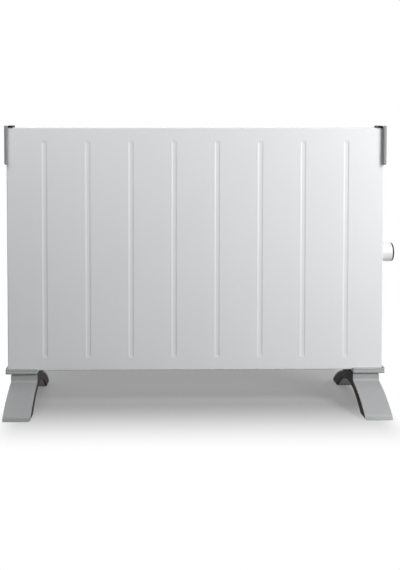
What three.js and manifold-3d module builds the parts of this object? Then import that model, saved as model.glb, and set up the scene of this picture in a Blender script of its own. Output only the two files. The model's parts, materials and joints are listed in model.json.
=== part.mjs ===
// A free-standing panel convector heater: a shallow white steel casing with eight pressed
// grooves, grey moulded feet and corner caps, and a thermostat knob on its right-hand side.
// Lengths are in millimetres. +Z is up, the front faces -Y and the controls are on the +X side.
// Until the last lines X is 0 at the middle of the front panel, Y is 0 half way through the
// casing and Z is 0 on the floor.

import * as THREE from 'three';
import { mergeVertices, toCreasedNormals } from 'three/addons/utils/BufferGeometryUtils.js';
import Module from 'manifold-3d';

const wasm = await Module();
wasm.setup();

// Casing
const panelWidth = 620;
const panelHeight = 400.5;
const casingDepth = 58;
const floorGap = 59;
const sheet = 1.2;
const foldRadius = 1.8;
const fitGap = 0.3;
const sideReturn = 5.3;
const lipDepth = 9;
const lipSetback = 6;

// Grooves pressed into the front panel
const grooveCount = 8;
const grooveEdge = 62;
const grooveTop = 24;
const grooveBottom = 19.5;
const grooveWidth = 11;
const grooveFloor = 4.5;
const grooveDepth = 1.3;

// Vent slots in the rear panel
const ventLength = 30;
const ventHeight = 4;
const ventPitchX = 46;
const ventPitchZ = 16;
const ventRows = 2;
const ventBase = 52;
const ventEdge = 92;

// Outlet and inlet grilles
const grilleRise = 2.7;
const grilleSlotWidth = 9;
const grilleSlotPitch = 16;
const grilleSlotMargin = 4;
const grilleEndMargin = 22;

// Side panels
const flangeWidth = 16;

// Corner caps and their top clips
const capHeight = 64;
const capWall = 2.2;
const capOverlap = 3.2;
const capProud = 6;
const capRise = 3.3;
const capRadius = 1.8;
const clipLength = 7;
const clipDepth = 24;
const clipRise = 1.5;
const clipProud = 2.5;
const clipRadius = 1;
const clipPegLength = 5;
const clipPegHalfWidth = 4;
const clipPegPlace = -13;
const clipPegDrop = 6;

// Feet
const footWidth = 43.3;
const footInset = 5.5;
const footReach = 104;
const archReach = 78;
const archHeight = 32;
const neckProud = 3;
const neckTop = 52.5;
const kneeHeight = 41;
const toeHeight = 5.5;
const toeSetback = 1.5;
const legCurve = [28, 13];
const kneeSpread = 5;
const kneeRound = 4;
const footWall = 2.8;
const rimProud = 5.8;
const rimBase = 54;
const rimLap = 3.1;
const rimOverhang = 3;
const rimEndLap = 5;
const rimRadius = 1.5;
const rimInnerSetback = 0.6;
const waistInset = 1.8;
const coverThickness = 3;
const coverMargin = 0.6;

// Screws
const footScrewMargin = 4.5;
const footScrewRadius = 2;
const footScrewLength = 14;
const footScrewHead = 4;
const screwHeadHeight = 2.4;
const screwAccess = 5.5;
const rearScrewRadius = 1.6;
const rearScrewLength = 7;
const rearScrewHead = 3.4;
const rearScrewInset = 9;
const rearScrewEnd = 62;

// Wall hangers and spacers on the rear panel
const wallStandOff = 10;
const hangerSpacing = 360;
const hangerWidth = 44;
const hangerHeight = 46;
const hangerSheet = 2;
const hangerFoot = 11;
const hangerDrop = 34;
const keyholeRadius = 5.5;
const keyholeSlot = 5.4;
const keyholeRise = 13;
const spacerRadius = 9;
const spacerPlug = 4;
const spacerHeight = 12;
const rivetRadius = 2.5;
const rivetRise = 1;

// Heat shield and the wall of the control compartment
const shieldSheet = 1;
const shieldDepth = 20;
const shieldBase = 20;
const shieldTop = 16;
const baffleInset = 76;
const baffleFlange = 12;
const baffleHole = 5;

// Heating element: an aluminium extrusion on two sheathed rods
const rodRadius = 4.2;
const rodSpacing = 30;
const rodOverhang = 20;
const pinRadius = 1.5;
const pinLength = 12;
const elementHeight = 78;
const elementForward = 4;
const finLeftMargin = 60;
const finRightMargin = 34;
const hubWall = 2.4;
const finSpread = 15;
const finRise = 20;
const finSheet = 1.6;
const bushWall = 2.6;
const bushLength = 12;
const bracketSheet = 1.5;
const bracketOffset = 8;
const bracketMargin = 10;
const bridgeThickness = 6;

// Thermal cutout over the element
const cutoutRadius = 8;
const cutoutHeight = 9;
const cutoutAbove = 58;
const cutoutInset = 80;
const cutoutBladeReach = 6;
const cutoutBladeHeight = 3.1;

// Thermostat, knob and dial
const knobHeight = 251.5;
const thermostatWidth = 30;
const thermostatHeight = 32;
const thermostatDepth = 22;
const shaftRadius = 3;
const shaftFlat = 0.8;
const bushRadius = 5;
const nutAcross = 14;
const nutHeight = 2.5;
const dialRadius = 22;
const dialSheet = 1;
const knobClearance = 0.8;
const knobRadius = 16.5;
const knobEndRadius = 15.75;
const knobLength = 18.4;
const knobWall = 2.2;
const knobSkirtDepth = 6;
const knobHubRadius = 6;
const ringThickness = 2.3;
const ringRecess = 1.2;
const pointerWidth = 1.4;
const pointerDepth = 0.5;
const pointerStart = 3;
const bladeLength = 8;
const bladeSpread = 8;
const bladeWidth = 6;

// Rocker switches
const switchRise = 48;
const switchPitch = 32;
const switchWallY = 6.2;
const switchWallZ = 9.6;
const switchDepth = 20;
const switchCavityY = 5;
const switchCavityZ = 8.5;
const bezelMargin = 1.5;
const bezelThickness = 1.4;
const rockerHalfWidth = 4.6;
const rockerHalfLength = 7.4;
const rockerCrown = 4;
const rockerDish = 1.2;
const rockerTilt = 8;
const trunnionRadius = 1.3;
const trunnionReach = 0.4;
const switchBladeLength = 7;
const switchBladePitch = 6;

// Terminal block, earth screw, cord gland and wires
const blockWidth = 34;
const blockDepth = 17;
const blockHeight = 34;
const blockInset = 60;
const blockBase = 34;
const earthScrewGap = 16;
const glandRadius = 8;
const glandFlange = 10;
const glandBore = 3.9;
const glandInset = 42;
const glandHeight = 16;
const glandProud = 6;
const wireRadius = 1.2;

// Derived planes
const halfWidth = panelWidth / 2;
const halfDepth = casingDepth / 2;
const topZ = floorGap + panelHeight;
const lapGap = sheet + fitGap;
const innerLow = floorGap + lapGap + sheet + fitGap;
const innerHigh = topZ - lapGap - sheet - fitGap;
const lipHalfWidth = halfWidth - lipSetback;
const raisedHalf = halfDepth - lipDepth - fitGap;
const bandHalf = halfDepth - sideReturn - fitGap;
const flankX = halfWidth - lapGap;
const flangeY = halfDepth - lapGap;
const insideY = halfDepth - sheet;
const screwX = halfWidth - footInset - footWidth / 2;
const footScrewOffset = halfDepth - footScrewMargin;
const baffleX = halfWidth - baffleInset;
const finLeft = halfWidth - finLeftMargin;
const finRight = baffleX - finRightMargin;
const cutoutX = finRight - cutoutInset;
const switchHeights = [knobHeight + switchRise, knobHeight + switchRise + switchPitch];
const elementZ = floorGap + elementHeight;
const rodHeights = [elementZ + rodSpacing / 2, elementZ - rodSpacing / 2];

// Colours
const paint = (color, roughness, metalness = 0) =>
  new THREE.MeshStandardMaterial({ color, roughness, metalness });
const whiteSteel = paint(0xe9eaec, 0.42);
const greyPlastic = paint(0xa4a5a3, 0.5);
const darkPlastic = paint(0x1f1d1d, 0.55);
const capPlastic = paint(0x8b8b89, 0.45);
const whitePlastic = paint(0xf2f2f0, 0.3);
const zincSteel = paint(0xb9bcc0, 0.35, 1);
const aluminium = paint(0xc4c6c8, 0.38, 1);
const ceramic = paint(0xe8e2d4, 0.7);
const sleeveRed = paint(0x9c2a22, 0.6);
const sleeveBlue = paint(0x2c4c8c, 0.6);
const sleeveGreen = paint(0x5d8a2b, 0.6);

// Shape helpers. A closed geometry becomes a solid that can be joined and cut.
function solid(geometry) {
  const bare = geometry.clone();
  bare.deleteAttribute('normal');
  bare.deleteAttribute('uv');
  const merged = mergeVertices(bare, 1e-5);
  const corners = merged.index.array;
  const kept = [];
  for (let i = 0; i < corners.length; i += 3) {
    const [a, b, c] = [corners[i], corners[i + 1], corners[i + 2]];
    if (a !== b && b !== c && c !== a) kept.push(a, b, c);
  }
  const vertProperties = new Float32Array(merged.attributes.position.array);
  const triVerts = new Uint32Array(kept);
  return new wasm.Manifold(new wasm.Mesh({ numProp: 3, vertProperties, triVerts }));
}

function joined(shapes) {
  return shapes.reduce((sum, shape) => sum.add(shape));
}

function box([x0, x1], [y0, y1], [z0, z1]) {
  const geometry = new THREE.BoxGeometry(x1 - x0, y1 - y0, z1 - z0);
  geometry.translate((x0 + x1) / 2, (y0 + y1) / 2, (z0 + z1) / 2);
  return solid(geometry);
}

function polygon(points) {
  return new THREE.Shape(points.map(([a, b]) => new THREE.Vector2(a, b)));
}

function roundPoints([a, b], radius, sides) {
  const turn = (i) => (2 * Math.PI * (i + 0.5)) / sides;
  return Array.from({ length: sides }, (_, i) =>
    [a + radius * Math.cos(turn(i)), b + radius * Math.sin(turn(i))]);
}

function roundedRect([a0, a1], [b0, b1], radius) {
  const shape = new THREE.Shape();
  shape.absarc(a1 - radius, b0 + radius, radius, -Math.PI / 2, 0, false);
  shape.absarc(a1 - radius, b1 - radius, radius, 0, Math.PI / 2, false);
  shape.absarc(a0 + radius, b1 - radius, radius, Math.PI / 2, Math.PI, false);
  shape.absarc(a0 + radius, b0 + radius, radius, Math.PI, 1.5 * Math.PI, false);
  return shape;
}

// A prism along an axis. Its outline is given as (y, z) for x, (x, z) for y and (x, y) for z.
function prism(outline, axis, [from, to]) {
  const [ex, ey, ez] = [[1, 0, 0], [0, 1, 0], [0, 0, 1]].map((v) => new THREE.Vector3(...v));
  const frames = { x: [ey, ez, ex], y: [ex, ez, ey.clone().negate()], z: [ex, ey, ez] };
  const start = { x: [from, 0, 0], y: [0, to, 0], z: [0, 0, from] };
  const settings = { depth: to - from, bevelEnabled: false, curveSegments: 3 };
  const geometry = new THREE.ExtrudeGeometry(outline, settings);
  geometry.applyMatrix4(new THREE.Matrix4().makeBasis(...frames[axis]));
  geometry.translate(...start[axis]);
  return solid(geometry);
}

function rod(axis, centre, span, radius, sides = 24) {
  return prism(polygon(roundPoints(centre, radius, sides)), axis, span);
}

// A turned piece about local +Z, from a profile of [radius, height] that starts and ends on Z.
function turned(profile, sides = 24) {
  const points = profile.map(([r, h]) => new THREE.Vector2(r, h));
  const geometry = new THREE.LatheGeometry(points, sides);
  geometry.rotateX(Math.PI / 2);
  geometry.index.array.reverse();
  const made = solid(geometry);
  if (made.volume() > 0) return made;
  geometry.index.array.reverse();
  return solid(geometry);
}

// The outline of a closed polygon moved inwards by a distance, corner by corner.
function insetPoints(points, distance) {
  const area = points.reduce((sum, [a, b], i) => {
    const [c, d] = points[(i + 1) % points.length];
    return sum + a * d - c * b;
  }, 0);
  const turn = Math.sign(area);
  return points.map((point, i) => {
    const before = points[(i + points.length - 1) % points.length];
    const after = points[(i + 1) % points.length];
    const [u, v] = [[before, point], [point, after]].map(([p, q]) => {
      const length = Math.hypot(q[0] - p[0], q[1] - p[1]);
      return [(-turn * (q[1] - p[1])) / length, (turn * (q[0] - p[0])) / length];
    });
    const scale = distance / (1 + u[0] * v[0] + u[1] * v[1]);
    return [point[0] + scale * (u[0] + v[0]), point[1] + scale * (u[1] + v[1])];
  });
}

// A block whose half sizes in x and z change from one y plane to another.
function taperedBlock([x, z], near, far) {
  const geometry = new THREE.BoxGeometry(2, 2, 2);
  const corner = geometry.attributes.position;
  for (let i = 0; i < corner.count; i += 1) {
    const plane = corner.getY(i) < 0 ? near : far;
    corner.setXYZ(i, x + corner.getX(i) * plane.halfX, plane.y, z + corner.getZ(i) * plane.halfZ);
  }
  return solid(geometry);
}

// The span from one depth to another on the front (-1) or rear (+1) side of the middle.
function facing(side, inner, outer) {
  return side > 0 ? [inner, outer] : [-outer, -inner];
}

// A geometry for display, as made or handed to the other side of the middle plane.
function geometryOf(shape, side = 1) {
  const { vertProperties, triVerts } = shape.getMesh();
  const geometry = new THREE.BufferGeometry();
  geometry.setAttribute('position', new THREE.BufferAttribute(vertProperties, 3));
  const corners = side < 0 ? triVerts.slice().reverse() : triVerts;
  geometry.setIndex(new THREE.BufferAttribute(corners, 1));
  geometry.scale(side, 1, 1);
  return toCreasedNormals(geometry, 0.6);
}

function part(name, shape, material, side = 1) {
  const mesh = new THREE.Mesh(geometryOf(shape, side), material);
  mesh.name = name;
  return mesh;
}

function placed(mesh, position, rotation = [0, 0, 0]) {
  mesh.position.set(...position);
  mesh.rotation.set(...rotation);
  return mesh;
}

const towardsRight = [0, Math.PI / 2, 0];
const towardsRear = [-Math.PI / 2, 0, 0];
const downwards = [Math.PI, 0, 0];

// Casing: two folded sheets, two side panels and two grilles
function casingBlock(inset) {
  const x = [-halfWidth + inset, halfWidth - inset];
  const y = [-halfDepth + inset, halfDepth - inset];
  const z = [floorGap + inset, topZ - inset];
  const radius = foldRadius - inset;
  return prism(roundedRect(x, y, radius), 'z', z)
    .intersect(prism(roundedRect(y, z, radius), 'x', x));
}

const beyondZ = [floorGap - 1, topZ + 1];
const casingShell = casingBlock(0).subtract(casingBlock(sheet));

function foldedSheet(side) {
  const returns = facing(side, halfDepth - sideReturn, halfDepth + 1);
  const lips = facing(side, halfDepth - lipDepth, halfDepth + 1);
  const kept = box([-halfWidth - 1, halfWidth + 1], returns, beyondZ)
    .add(box([-lipHalfWidth, lipHalfWidth], lips, beyondZ));
  return casingShell.intersect(kept);
}

const footScrewHoles = joined([-1, 1].flatMap((end) => [-1, 1].map((side) =>
  rod('z', [end * screwX, side * footScrewOffset], [0, innerLow], footScrewRadius + fitGap, 16))));

function grooveShapes() {
  const middle = (floorGap + grooveBottom + topZ - grooveTop) / 2;
  const halfLength = (panelHeight - grooveBottom - grooveTop) / 2;
  const slope = (grooveWidth - grooveFloor) / 2 / grooveDepth;
  const shoulder = sheet * Math.tan(Math.atan(1 / slope) / 2);
  const pitch = (panelWidth - 2 * grooveEdge) / (grooveCount - 1);
  const section = (depth, shift, grown) => ({
    y: -halfDepth + depth + shift,
    halfX: grooveWidth / 2 - slope * depth + grown,
    halfZ: halfLength - slope * depth + grown,
  });
  const places = Array.from({ length: grooveCount }, (_, i) =>
    [-halfWidth + grooveEdge + i * pitch, middle]);
  return {
    recesses: joined(places.map((at) =>
      taperedBlock(at, section(-1, 0, 0), section(grooveDepth, 0, 0)))),
    bulges: joined(places.map((at) =>
      taperedBlock(at, section(-sheet / 2, sheet, shoulder), section(grooveDepth, sheet, shoulder)))),
  };
}

function frontPanel() {
  const { recesses, bulges } = grooveShapes();
  return foldedSheet(-1).add(bulges).subtract(recesses).subtract(footScrewHoles);
}

function ventSlots() {
  const run = panelWidth - 2 * ventEdge;
  const columns = Math.floor(run / ventPitchX) + 1;
  const slots = [];
  for (let column = 0; column < columns; column += 1) {
    for (let row = 0; row < ventRows; row += 1) {
      const x = (column - (columns - 1) / 2) * ventPitchX;
      const z = floorGap + ventBase + row * ventPitchZ;
      const across = [x - ventLength / 2, x + ventLength / 2];
      slots.push(box(across, [insideY - 1, halfDepth + 1], [z, z + ventHeight]));
    }
  }
  return joined(slots);
}

const rearScrewPlaces = [-1, 1].flatMap((side) => [-1, 1].map((end) => {
  const z = end > 0 ? topZ - rearScrewEnd - capHeight : floorGap + rearScrewEnd;
  return [side * (halfWidth - rearScrewInset), z];
}));
const rearScrewHoles = joined(rearScrewPlaces.map((at) =>
  rod('y', at, [flangeY - sheet - 1, halfDepth + 1], rearScrewRadius + fitGap, 16)));
const glandPlace = [halfWidth - glandInset, floorGap + glandHeight];
const spacerPlaces = [-1, 1].map((side) => [side * hangerSpacing / 2, floorGap + spacerHeight]);
const spacerHoles = joined(spacerPlaces.map((at) =>
  rod('y', at, [insideY - 1, halfDepth + 1], spacerPlug + fitGap, 16)));

function rearPanel() {
  const glandHole = rod('y', glandPlace, [insideY - 1, halfDepth + 1], glandRadius + fitGap, 24);
  return foldedSheet(1).subtract(ventSlots()).subtract(rearScrewHoles)
    .subtract(glandHole).subtract(spacerHoles).subtract(footScrewHoles);
}

// A channel with joggled edges that lie under the folds of the front and rear sheets
function sidePanel() {
  const foot = halfWidth - flangeWidth;
  const bend = foldRadius - lapGap;
  const half = (side) => [
    [foot, side * flangeY],
    [flankX - bend, side * flangeY],
    [flankX, side * (flangeY - bend)],
    [flankX, side * bandHalf],
    [halfWidth, side * bandHalf],
  ];
  const inner = (side) => [
    [halfWidth - sheet, side * (bandHalf - sheet)],
    [flankX - sheet, side * (bandHalf - sheet)],
    [flankX - sheet, side * (flangeY - sheet)],
    [foot, side * (flangeY - sheet)],
  ];
  const outline = [...half(-1), ...half(1).reverse(), ...inner(1).reverse(), ...inner(-1)];
  return prism(polygon(outline), 'z', [innerLow, innerHigh]).subtract(rearScrewHoles);
}

function controlSide() {
  const throughWall = [flankX - 4, halfWidth + 1];
  const cutOut = (z) => box(throughWall,
    [-switchWallY - fitGap, switchWallY + fitGap],
    [z - switchWallZ - fitGap, z + switchWallZ + fitGap]);
  const bushHole = rod('x', [0, knobHeight], throughWall, bushRadius + fitGap);
  return sidePanel().subtract(bushHole).subtract(joined(switchHeights.map(cutOut)));
}

// A hat section under the lips, with its slotted crown level with them
function grille(up) {
  const face = up > 0 ? topZ : floorGap;
  const level = (depth) => face - up * depth;
  const wing = halfDepth - foldRadius;
  const half = (side) => [
    [side * raisedHalf, level(0)],
    [side * raisedHalf, level(lapGap)],
    [side * wing, level(lapGap)],
    [side * wing, level(grilleRise)],
    [side * (raisedHalf - sheet), level(grilleRise)],
    [side * (raisedHalf - sheet), level(sheet)],
  ];
  const hat = prism(polygon([...half(1), ...half(-1).reverse()]), 'x', [-flankX, flankX]);
  const slotHalf = raisedHalf - grilleSlotMargin;
  const run = panelWidth - 2 * grilleEndMargin;
  const count = Math.floor(run / grilleSlotPitch);
  const slots = Array.from({ length: count }, (_, i) => {
    const x = (i - (count - 1) / 2) * grilleSlotPitch;
    const across = [x - grilleSlotWidth / 2, x + grilleSlotWidth / 2];
    return box(across, [-slotHalf, slotHalf], [face - sheet - 1, face + sheet + 1]);
  });
  return hat.subtract(joined(slots));
}

const pegX = halfWidth - capOverlap - fitGap - clipLength / 2;
const pegSpan = (end, room) => [
  end * pegX - clipPegLength / 2 - room,
  end * pegX + clipPegLength / 2 + room,
];

const pegAcross = (room) => [
  clipPegPlace - clipPegHalfWidth - room,
  clipPegPlace + clipPegHalfWidth + room,
];

function outletGrille() {
  const pegHole = (end) =>
    box(pegSpan(end, fitGap), pegAcross(fitGap), [topZ - sheet - 1, topZ + 1]);
  return grille(1).subtract(joined([-1, 1].map(pegHole)));
}

// Right-hand corner cap, wrapped round the front, side, rear and top of the casing corner
function cornerCap() {
  const x = [halfWidth - capOverlap, halfWidth + fitGap + capWall];
  const y = [-halfDepth - capProud, halfDepth + capProud];
  const z = [topZ + capRise - capHeight, topZ + capRise];
  const blank = prism(roundedRect(x, y, capRadius), 'z', z)
    .intersect(prism(roundedRect(x, z, capRadius), 'y', y));
  const pocket = box([0, halfWidth + fitGap],
    [-halfDepth - fitGap, halfDepth + fitGap], [0, topZ + fitGap]);
  return blank.subtract(pocket);
}

// Short bar on top of the front sheet beside a cap, with a peg in the grille
function capClip() {
  const end = halfWidth - capOverlap - fitGap;
  const front = -halfDepth - clipProud;
  const low = topZ + fitGap;
  const high = topZ + capRise;
  const side = [
    [front, low], [front + clipDepth, low], [front + clipDepth, high + clipRise],
    [front + clipRadius, high], [front, high - clipRadius],
  ];
  const bar = prism(polygon(side), 'x', [end - clipLength, end]);
  const peg = box(pegSpan(1, 0), pegAcross(0), [topZ - clipPegDrop, topZ + capRise / 2]);
  return bar.add(peg);
}

// Front or rear outer edge of a foot as (y, z), from its sole up to a height on its neck
function legPoints(top) {
  const neck = halfDepth + neckProud;
  const leg = new THREE.Shape();
  leg.moveTo(footReach, 0);
  leg.lineTo(footReach - toeSetback, toeHeight);
  const bend = [footReach - legCurve[0], kneeHeight - legCurve[1]];
  leg.quadraticCurveTo(...bend, neck + kneeSpread, kneeHeight - 1);
  leg.quadraticCurveTo(neck, kneeHeight, neck, kneeHeight + kneeRound);
  leg.lineTo(neck, top);
  return leg.getPoints(5).map(({ x, y }) => [x, y]);
}

function bothSides(points) {
  return [...points, ...points.map(([y, z]) => [-y, z]).reverse()];
}

// Side outline of a foot: a bridge with a leg to the front and one to the rear
function footPoints(top) {
  const arch = new THREE.Shape();
  arch.moveTo(-archReach, 0);
  arch.quadraticCurveTo(0, 2 * archHeight, archReach, 0);
  const under = arch.getPoints(12).map(({ x, y }) => [x, y]);
  return [...bothSides([[archReach, 0], ...legPoints(top)]), ...under.slice(1, -1)];
}

// The same outline less a skin on its outer edges, carried on below the floor
function corePoints(top, skin) {
  const outer = [[footReach, -1 - skin], ...legPoints(top + skin)];
  return insetPoints(bothSides(outer), skin);
}

// Right-hand foot: an open-sided moulding with a rim round the casing's lower corner
function foot() {
  const outer = halfWidth - footInset;
  const inner = outer - footWidth;
  const open = inner + coverThickness + fitGap;
  const deckTop = floorGap - fitGap;
  const body = prism(polygon(footPoints(neckTop)), 'x', [inner, outer]);
  const waistY = halfDepth + neckProud - waistInset;
  const waist = box([inner + waistInset, outer - waistInset], [-waistY, waistY],
    [neckTop - 1, rimBase + 1]);
  const rimY = [-halfDepth - rimProud, halfDepth + rimProud];
  const rimX = [inner - rimInnerSetback, halfWidth + rimOverhang];
  const rimZ = [rimBase, floorGap + rimLap];
  const rim = prism(roundedRect(rimY, rimZ, rimRadius), 'x', rimX);
  const endY = [-halfDepth - rimProud + rimRadius, halfDepth + rimProud - rimRadius];
  const endLap = box([halfWidth + fitGap, halfWidth + rimOverhang], endY,
    [rimBase + 2, floorGap + rimEndLap]);
  const pocket = box([0, halfWidth + fitGap],
    [-halfDepth - fitGap, halfDepth + fitGap], [deckTop, topZ]);
  const hollow = prism(polygon(insetPoints(footPoints(neckTop + footWall), footWall)), 'x',
    [0, outer - footWall]);
  const coverRoom = prism(polygon(corePoints(neckTop, footWall - fitGap)), 'x', [0, open]);
  const ways = joined([-1, 1].flatMap((side) => {
    const at = [screwX, side * footScrewOffset];
    return [
      rod('z', at, [neckTop - 2, floorGap], footScrewRadius + fitGap, 16),
      rod('z', at, [-1, kneeHeight], screwAccess, 24),
    ];
  }));
  return body.add(waist).add(rim).add(endLap).subtract(pocket).subtract(hollow)
    .subtract(coverRoom)
    .subtract(ways);
}

// Dark plate let into the inner side of a foot, behind its skin and level with its arch
function footCover() {
  const inner = halfWidth - footInset - footWidth;
  const span = [inner, inner + coverThickness];
  return prism(polygon(footPoints(neckTop)), 'x', span)
    .intersect(prism(polygon(corePoints(neckTop - fitGap, footWall)), 'x', span))
    .subtract(box([0, halfWidth], [-footReach, footReach], [-1, coverMargin]));
}

function screw(radius, length, headRadius) {
  return turned([
    [0, -length],
    [radius * 0.5, -length],
    [radius, -length + radius],
    [radius, 0],
    [headRadius, 0],
    [headRadius, screwHeadHeight * 0.45],
    [headRadius * 0.55, screwHeadHeight],
    [0, screwHeadHeight],
  ], 10);
}

function footScrews() {
  const seat = neckTop - fitGap;
  return [-1, 1].flatMap((end) => [-1, 1].map((side) => {
    const name = `foot_screw_${end < 0 ? 'left' : 'right'}_${side < 0 ? 'front' : 'rear'}`;
    const body = part(name, screw(footScrewRadius, footScrewLength, footScrewHead), zincSteel);
    return placed(body, [end * screwX, side * footScrewOffset, seat], downwards);
  }));
}

function rearScrews() {
  return rearScrewPlaces.map(([x, z]) => {
    const name = `rear_screw_${x < 0 ? 'left' : 'right'}_${z < knobHeight ? 'lower' : 'upper'}`;
    const body = part(name, screw(rearScrewRadius, rearScrewLength, rearScrewHead), zincSteel);
    return placed(body, [x, halfDepth + fitGap, z], towardsRear);
  });
}

// Wall hanger: a hat section with a keyhole, riveted to the rear panel
function hangerPlate() {
  const x = hangerSpacing / 2;
  const half = hangerWidth / 2;
  const seat = halfDepth + fitGap;
  const face = halfDepth + wallStandOff;
  const side = (s) => [
    [x + s * (half + hangerFoot), seat],
    [x + s * (half + hangerFoot), seat + hangerSheet],
    [x + s * half, seat + hangerSheet],
    [x + s * half, face],
  ];
  const under = (s) => [
    [x + s * (half - hangerSheet), face - hangerSheet],
    [x + s * (half - hangerSheet), seat],
  ];
  const outline = [...side(-1), ...side(1).reverse(), ...under(1).reverse(), ...under(-1)];
  const z = [topZ - hangerDrop - hangerHeight, topZ - hangerDrop];
  const entry = (z[0] + z[1]) / 2 - keyholeRise / 2;
  const through = [face - hangerSheet - 1, face + 1];
  const slotX = [x - keyholeSlot / 2, x + keyholeSlot / 2];
  const keyhole = rod('y', [x, entry], through, keyholeRadius, 24)
    .add(box(slotX, through, [entry, entry + keyholeRise]))
    .add(rod('y', [x, entry + keyholeRise], through, keyholeSlot / 2, 16));
  const rivets = joined([-1, 1].map((s) =>
    rod('y', [x + s * (half + hangerFoot / 2), (z[0] + z[1]) / 2],
      [seat + hangerSheet / 2, seat + hangerSheet + rivetRise], rivetRadius, 12)));
  return prism(polygon(outline), 'z', z).subtract(keyhole).add(rivets);
}

function wallSpacer() {
  return turned([
    [0, -sheet - 2],
    [spacerPlug, -sheet - 2],
    [spacerPlug, fitGap],
    [spacerRadius, fitGap],
    [spacerRadius - 1.5, wallStandOff],
    [0, wallStandOff],
  ], 20);
}

function heatShield() {
  const y = shieldDepth;
  const back = insideY - fitGap;
  const z = [floorGap + shieldBase, topZ - shieldTop];
  const outline = [
    [y, z[0]], [back, z[0]], [back, z[0] + shieldSheet], [y + shieldSheet, z[0] + shieldSheet],
    [y + shieldSheet, z[1] - shieldSheet], [back, z[1] - shieldSheet], [back, z[1]], [y, z[1]],
  ];
  return prism(polygon(outline), 'x', [-halfWidth + flangeWidth + 6, baffleX - 3]);
}

function controlBaffle() {
  const back = insideY - fitGap;
  const front = -insideY + fitGap;
  const outline = [
    [baffleX, front], [baffleX + shieldSheet, front], [baffleX + shieldSheet, back - shieldSheet],
    [baffleX + baffleFlange, back - shieldSheet], [baffleX + baffleFlange, back], [baffleX, back],
  ];
  const through = [baffleX - 1, baffleX + 2];
  const holes = joined(baffleHoles.map((at) => rod('x', at, through, baffleHole, 16)));
  const earthHole = rod('y', [earthX, earthZ], [0, back + 1], rearScrewRadius + fitGap, 16);
  return prism(polygon(outline), 'z', [innerLow, innerHigh]).subtract(holes).subtract(earthHole);
}

// Places as (y, z) where wires pass the wall of the control compartment
const farWireZ = floorGap + 30;
const baffleHoles = [
  [-elementForward, rodHeights[0]],
  [-elementForward, rodHeights[1]],
  [-elementForward, farWireZ],
];

// Heating element
function elementFins() {
  const y = -elementForward;
  const bore = rodRadius + fitGap;
  const hub = bore + hubWall;
  const x = [-finLeft, finRight];
  const web = box(x, [y - finSheet / 2, y + finSheet / 2], [rodHeights[1], rodHeights[0]]);
  const hubs = rodHeights.map((z) => rod('x', [y, z], x, hub, 20));
  const arm = (side, up) => {
    const root = up > 0 ? rodHeights[0] : rodHeights[1];
    const tip = [y + side * finSpread, root + up * finRise];
    return prism(polygon([
      [y - side * finSheet, root], [y + side * finSheet, root - up * finSheet],
      [tip[0] + side * finSheet, tip[1] - up * finSheet], tip,
    ]), 'x', x);
  };
  const shelf = (side, level) => box(x, facing(side, 0, finSpread).map((v) => y + v),
    [elementZ + level, elementZ + level + finSheet]);
  const arms = [-1, 1].flatMap((side) => [-1, 1].map((up) => arm(side, up)));
  const levels = [-finSheet * 2, finSheet];
  const shelves = [-1, 1].flatMap((side) => levels.map((level) => shelf(side, level)));
  const bores = rodHeights.map((z) => rod('x', [y, z], [x[0] - 1, x[1] + 1], bore, 20));
  return joined([web, ...hubs, ...arms, ...shelves]).subtract(joined(bores));
}

// One sheathed rod with its terminal pins, about local +Z from its left end
function elementTube() {
  const length = finLeft + finRight + 2 * rodOverhang;
  return turned([
    [0, -pinLength], [pinRadius, -pinLength], [pinRadius, 0], [rodRadius, 0],
    [rodRadius, length], [pinRadius, length], [pinRadius, length + pinLength], [0, length + pinLength],
  ], 16);
}

// A ceramic block with two collars that carries both rods at one end of the element
function elementHolder(x) {
  const y = -elementForward;
  const ends = [x - bushLength / 2, x + bushLength / 2];
  const collar = rodRadius + fitGap + bushWall;
  const bodies = rodHeights.map((z) => rod('x', [y, z], ends, collar, 20));
  const bridgeX = [ends[0], x - bracketSheet / 2 - fitGap];
  const bridgeY = [y - bridgeThickness / 2, y + bridgeThickness / 2];
  const bridge = box(bridgeX, bridgeY, [rodHeights[1], rodHeights[0]]);
  const bores = rodHeights.map((z) =>
    rod('x', [y, z], [ends[0] - 1, ends[1] + 1], rodRadius + fitGap, 20));
  return joined([...bodies, bridge]).subtract(joined(bores));
}

function elementBracket(x, away) {
  const y = -elementForward;
  const half = rodSpacing / 2 + rodRadius + bushWall + bracketMargin;
  const z = [elementZ - half, elementZ + half];
  const seat = shieldDepth - fitGap;
  const plate = box([x - bracketSheet / 2, x + bracketSheet / 2], [y - bracketMargin, seat], z);
  const flange = box(facing(away, 0, bracketMargin).map((v) => x + v), [seat - bracketSheet, seat], z);
  const hole = rodRadius + 2 * fitGap + bushWall;
  const holes = rodHeights.map((h) => rod('x', [y, h], [x - 2, x + 2], hole, 20));
  return plate.add(flange).subtract(joined(holes));
}

const holderLeft = -finLeft - bracketOffset;
const holderRight = finRight + bracketOffset;
const cutoutZ = elementZ + cutoutAbove;

function cutoutBracket() {
  const seat = shieldDepth - fitGap;
  const shelfY = [seat - 2 * cutoutRadius - 8, seat];
  const x = [cutoutX - cutoutRadius - 3, cutoutX + cutoutRadius + 3];
  return box(x, shelfY, [cutoutZ - bracketSheet, cutoutZ])
    .add(box(x, [seat - bracketSheet, seat], [cutoutZ - bracketSheet, cutoutZ + 20]));
}

function thermalCutout() {
  const disc = turned([
    [0, fitGap], [cutoutRadius, fitGap], [cutoutRadius, cutoutHeight * 0.55],
    [cutoutRadius * 0.7, cutoutHeight], [0, cutoutHeight],
  ], 20);
  const reach = cutoutRadius + cutoutBladeReach;
  const blades = box([-reach, reach], [-3, 3], [cutoutBladeHeight - 0.5, cutoutBladeHeight + 0.5]);
  return disc.add(blades);
}

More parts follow.
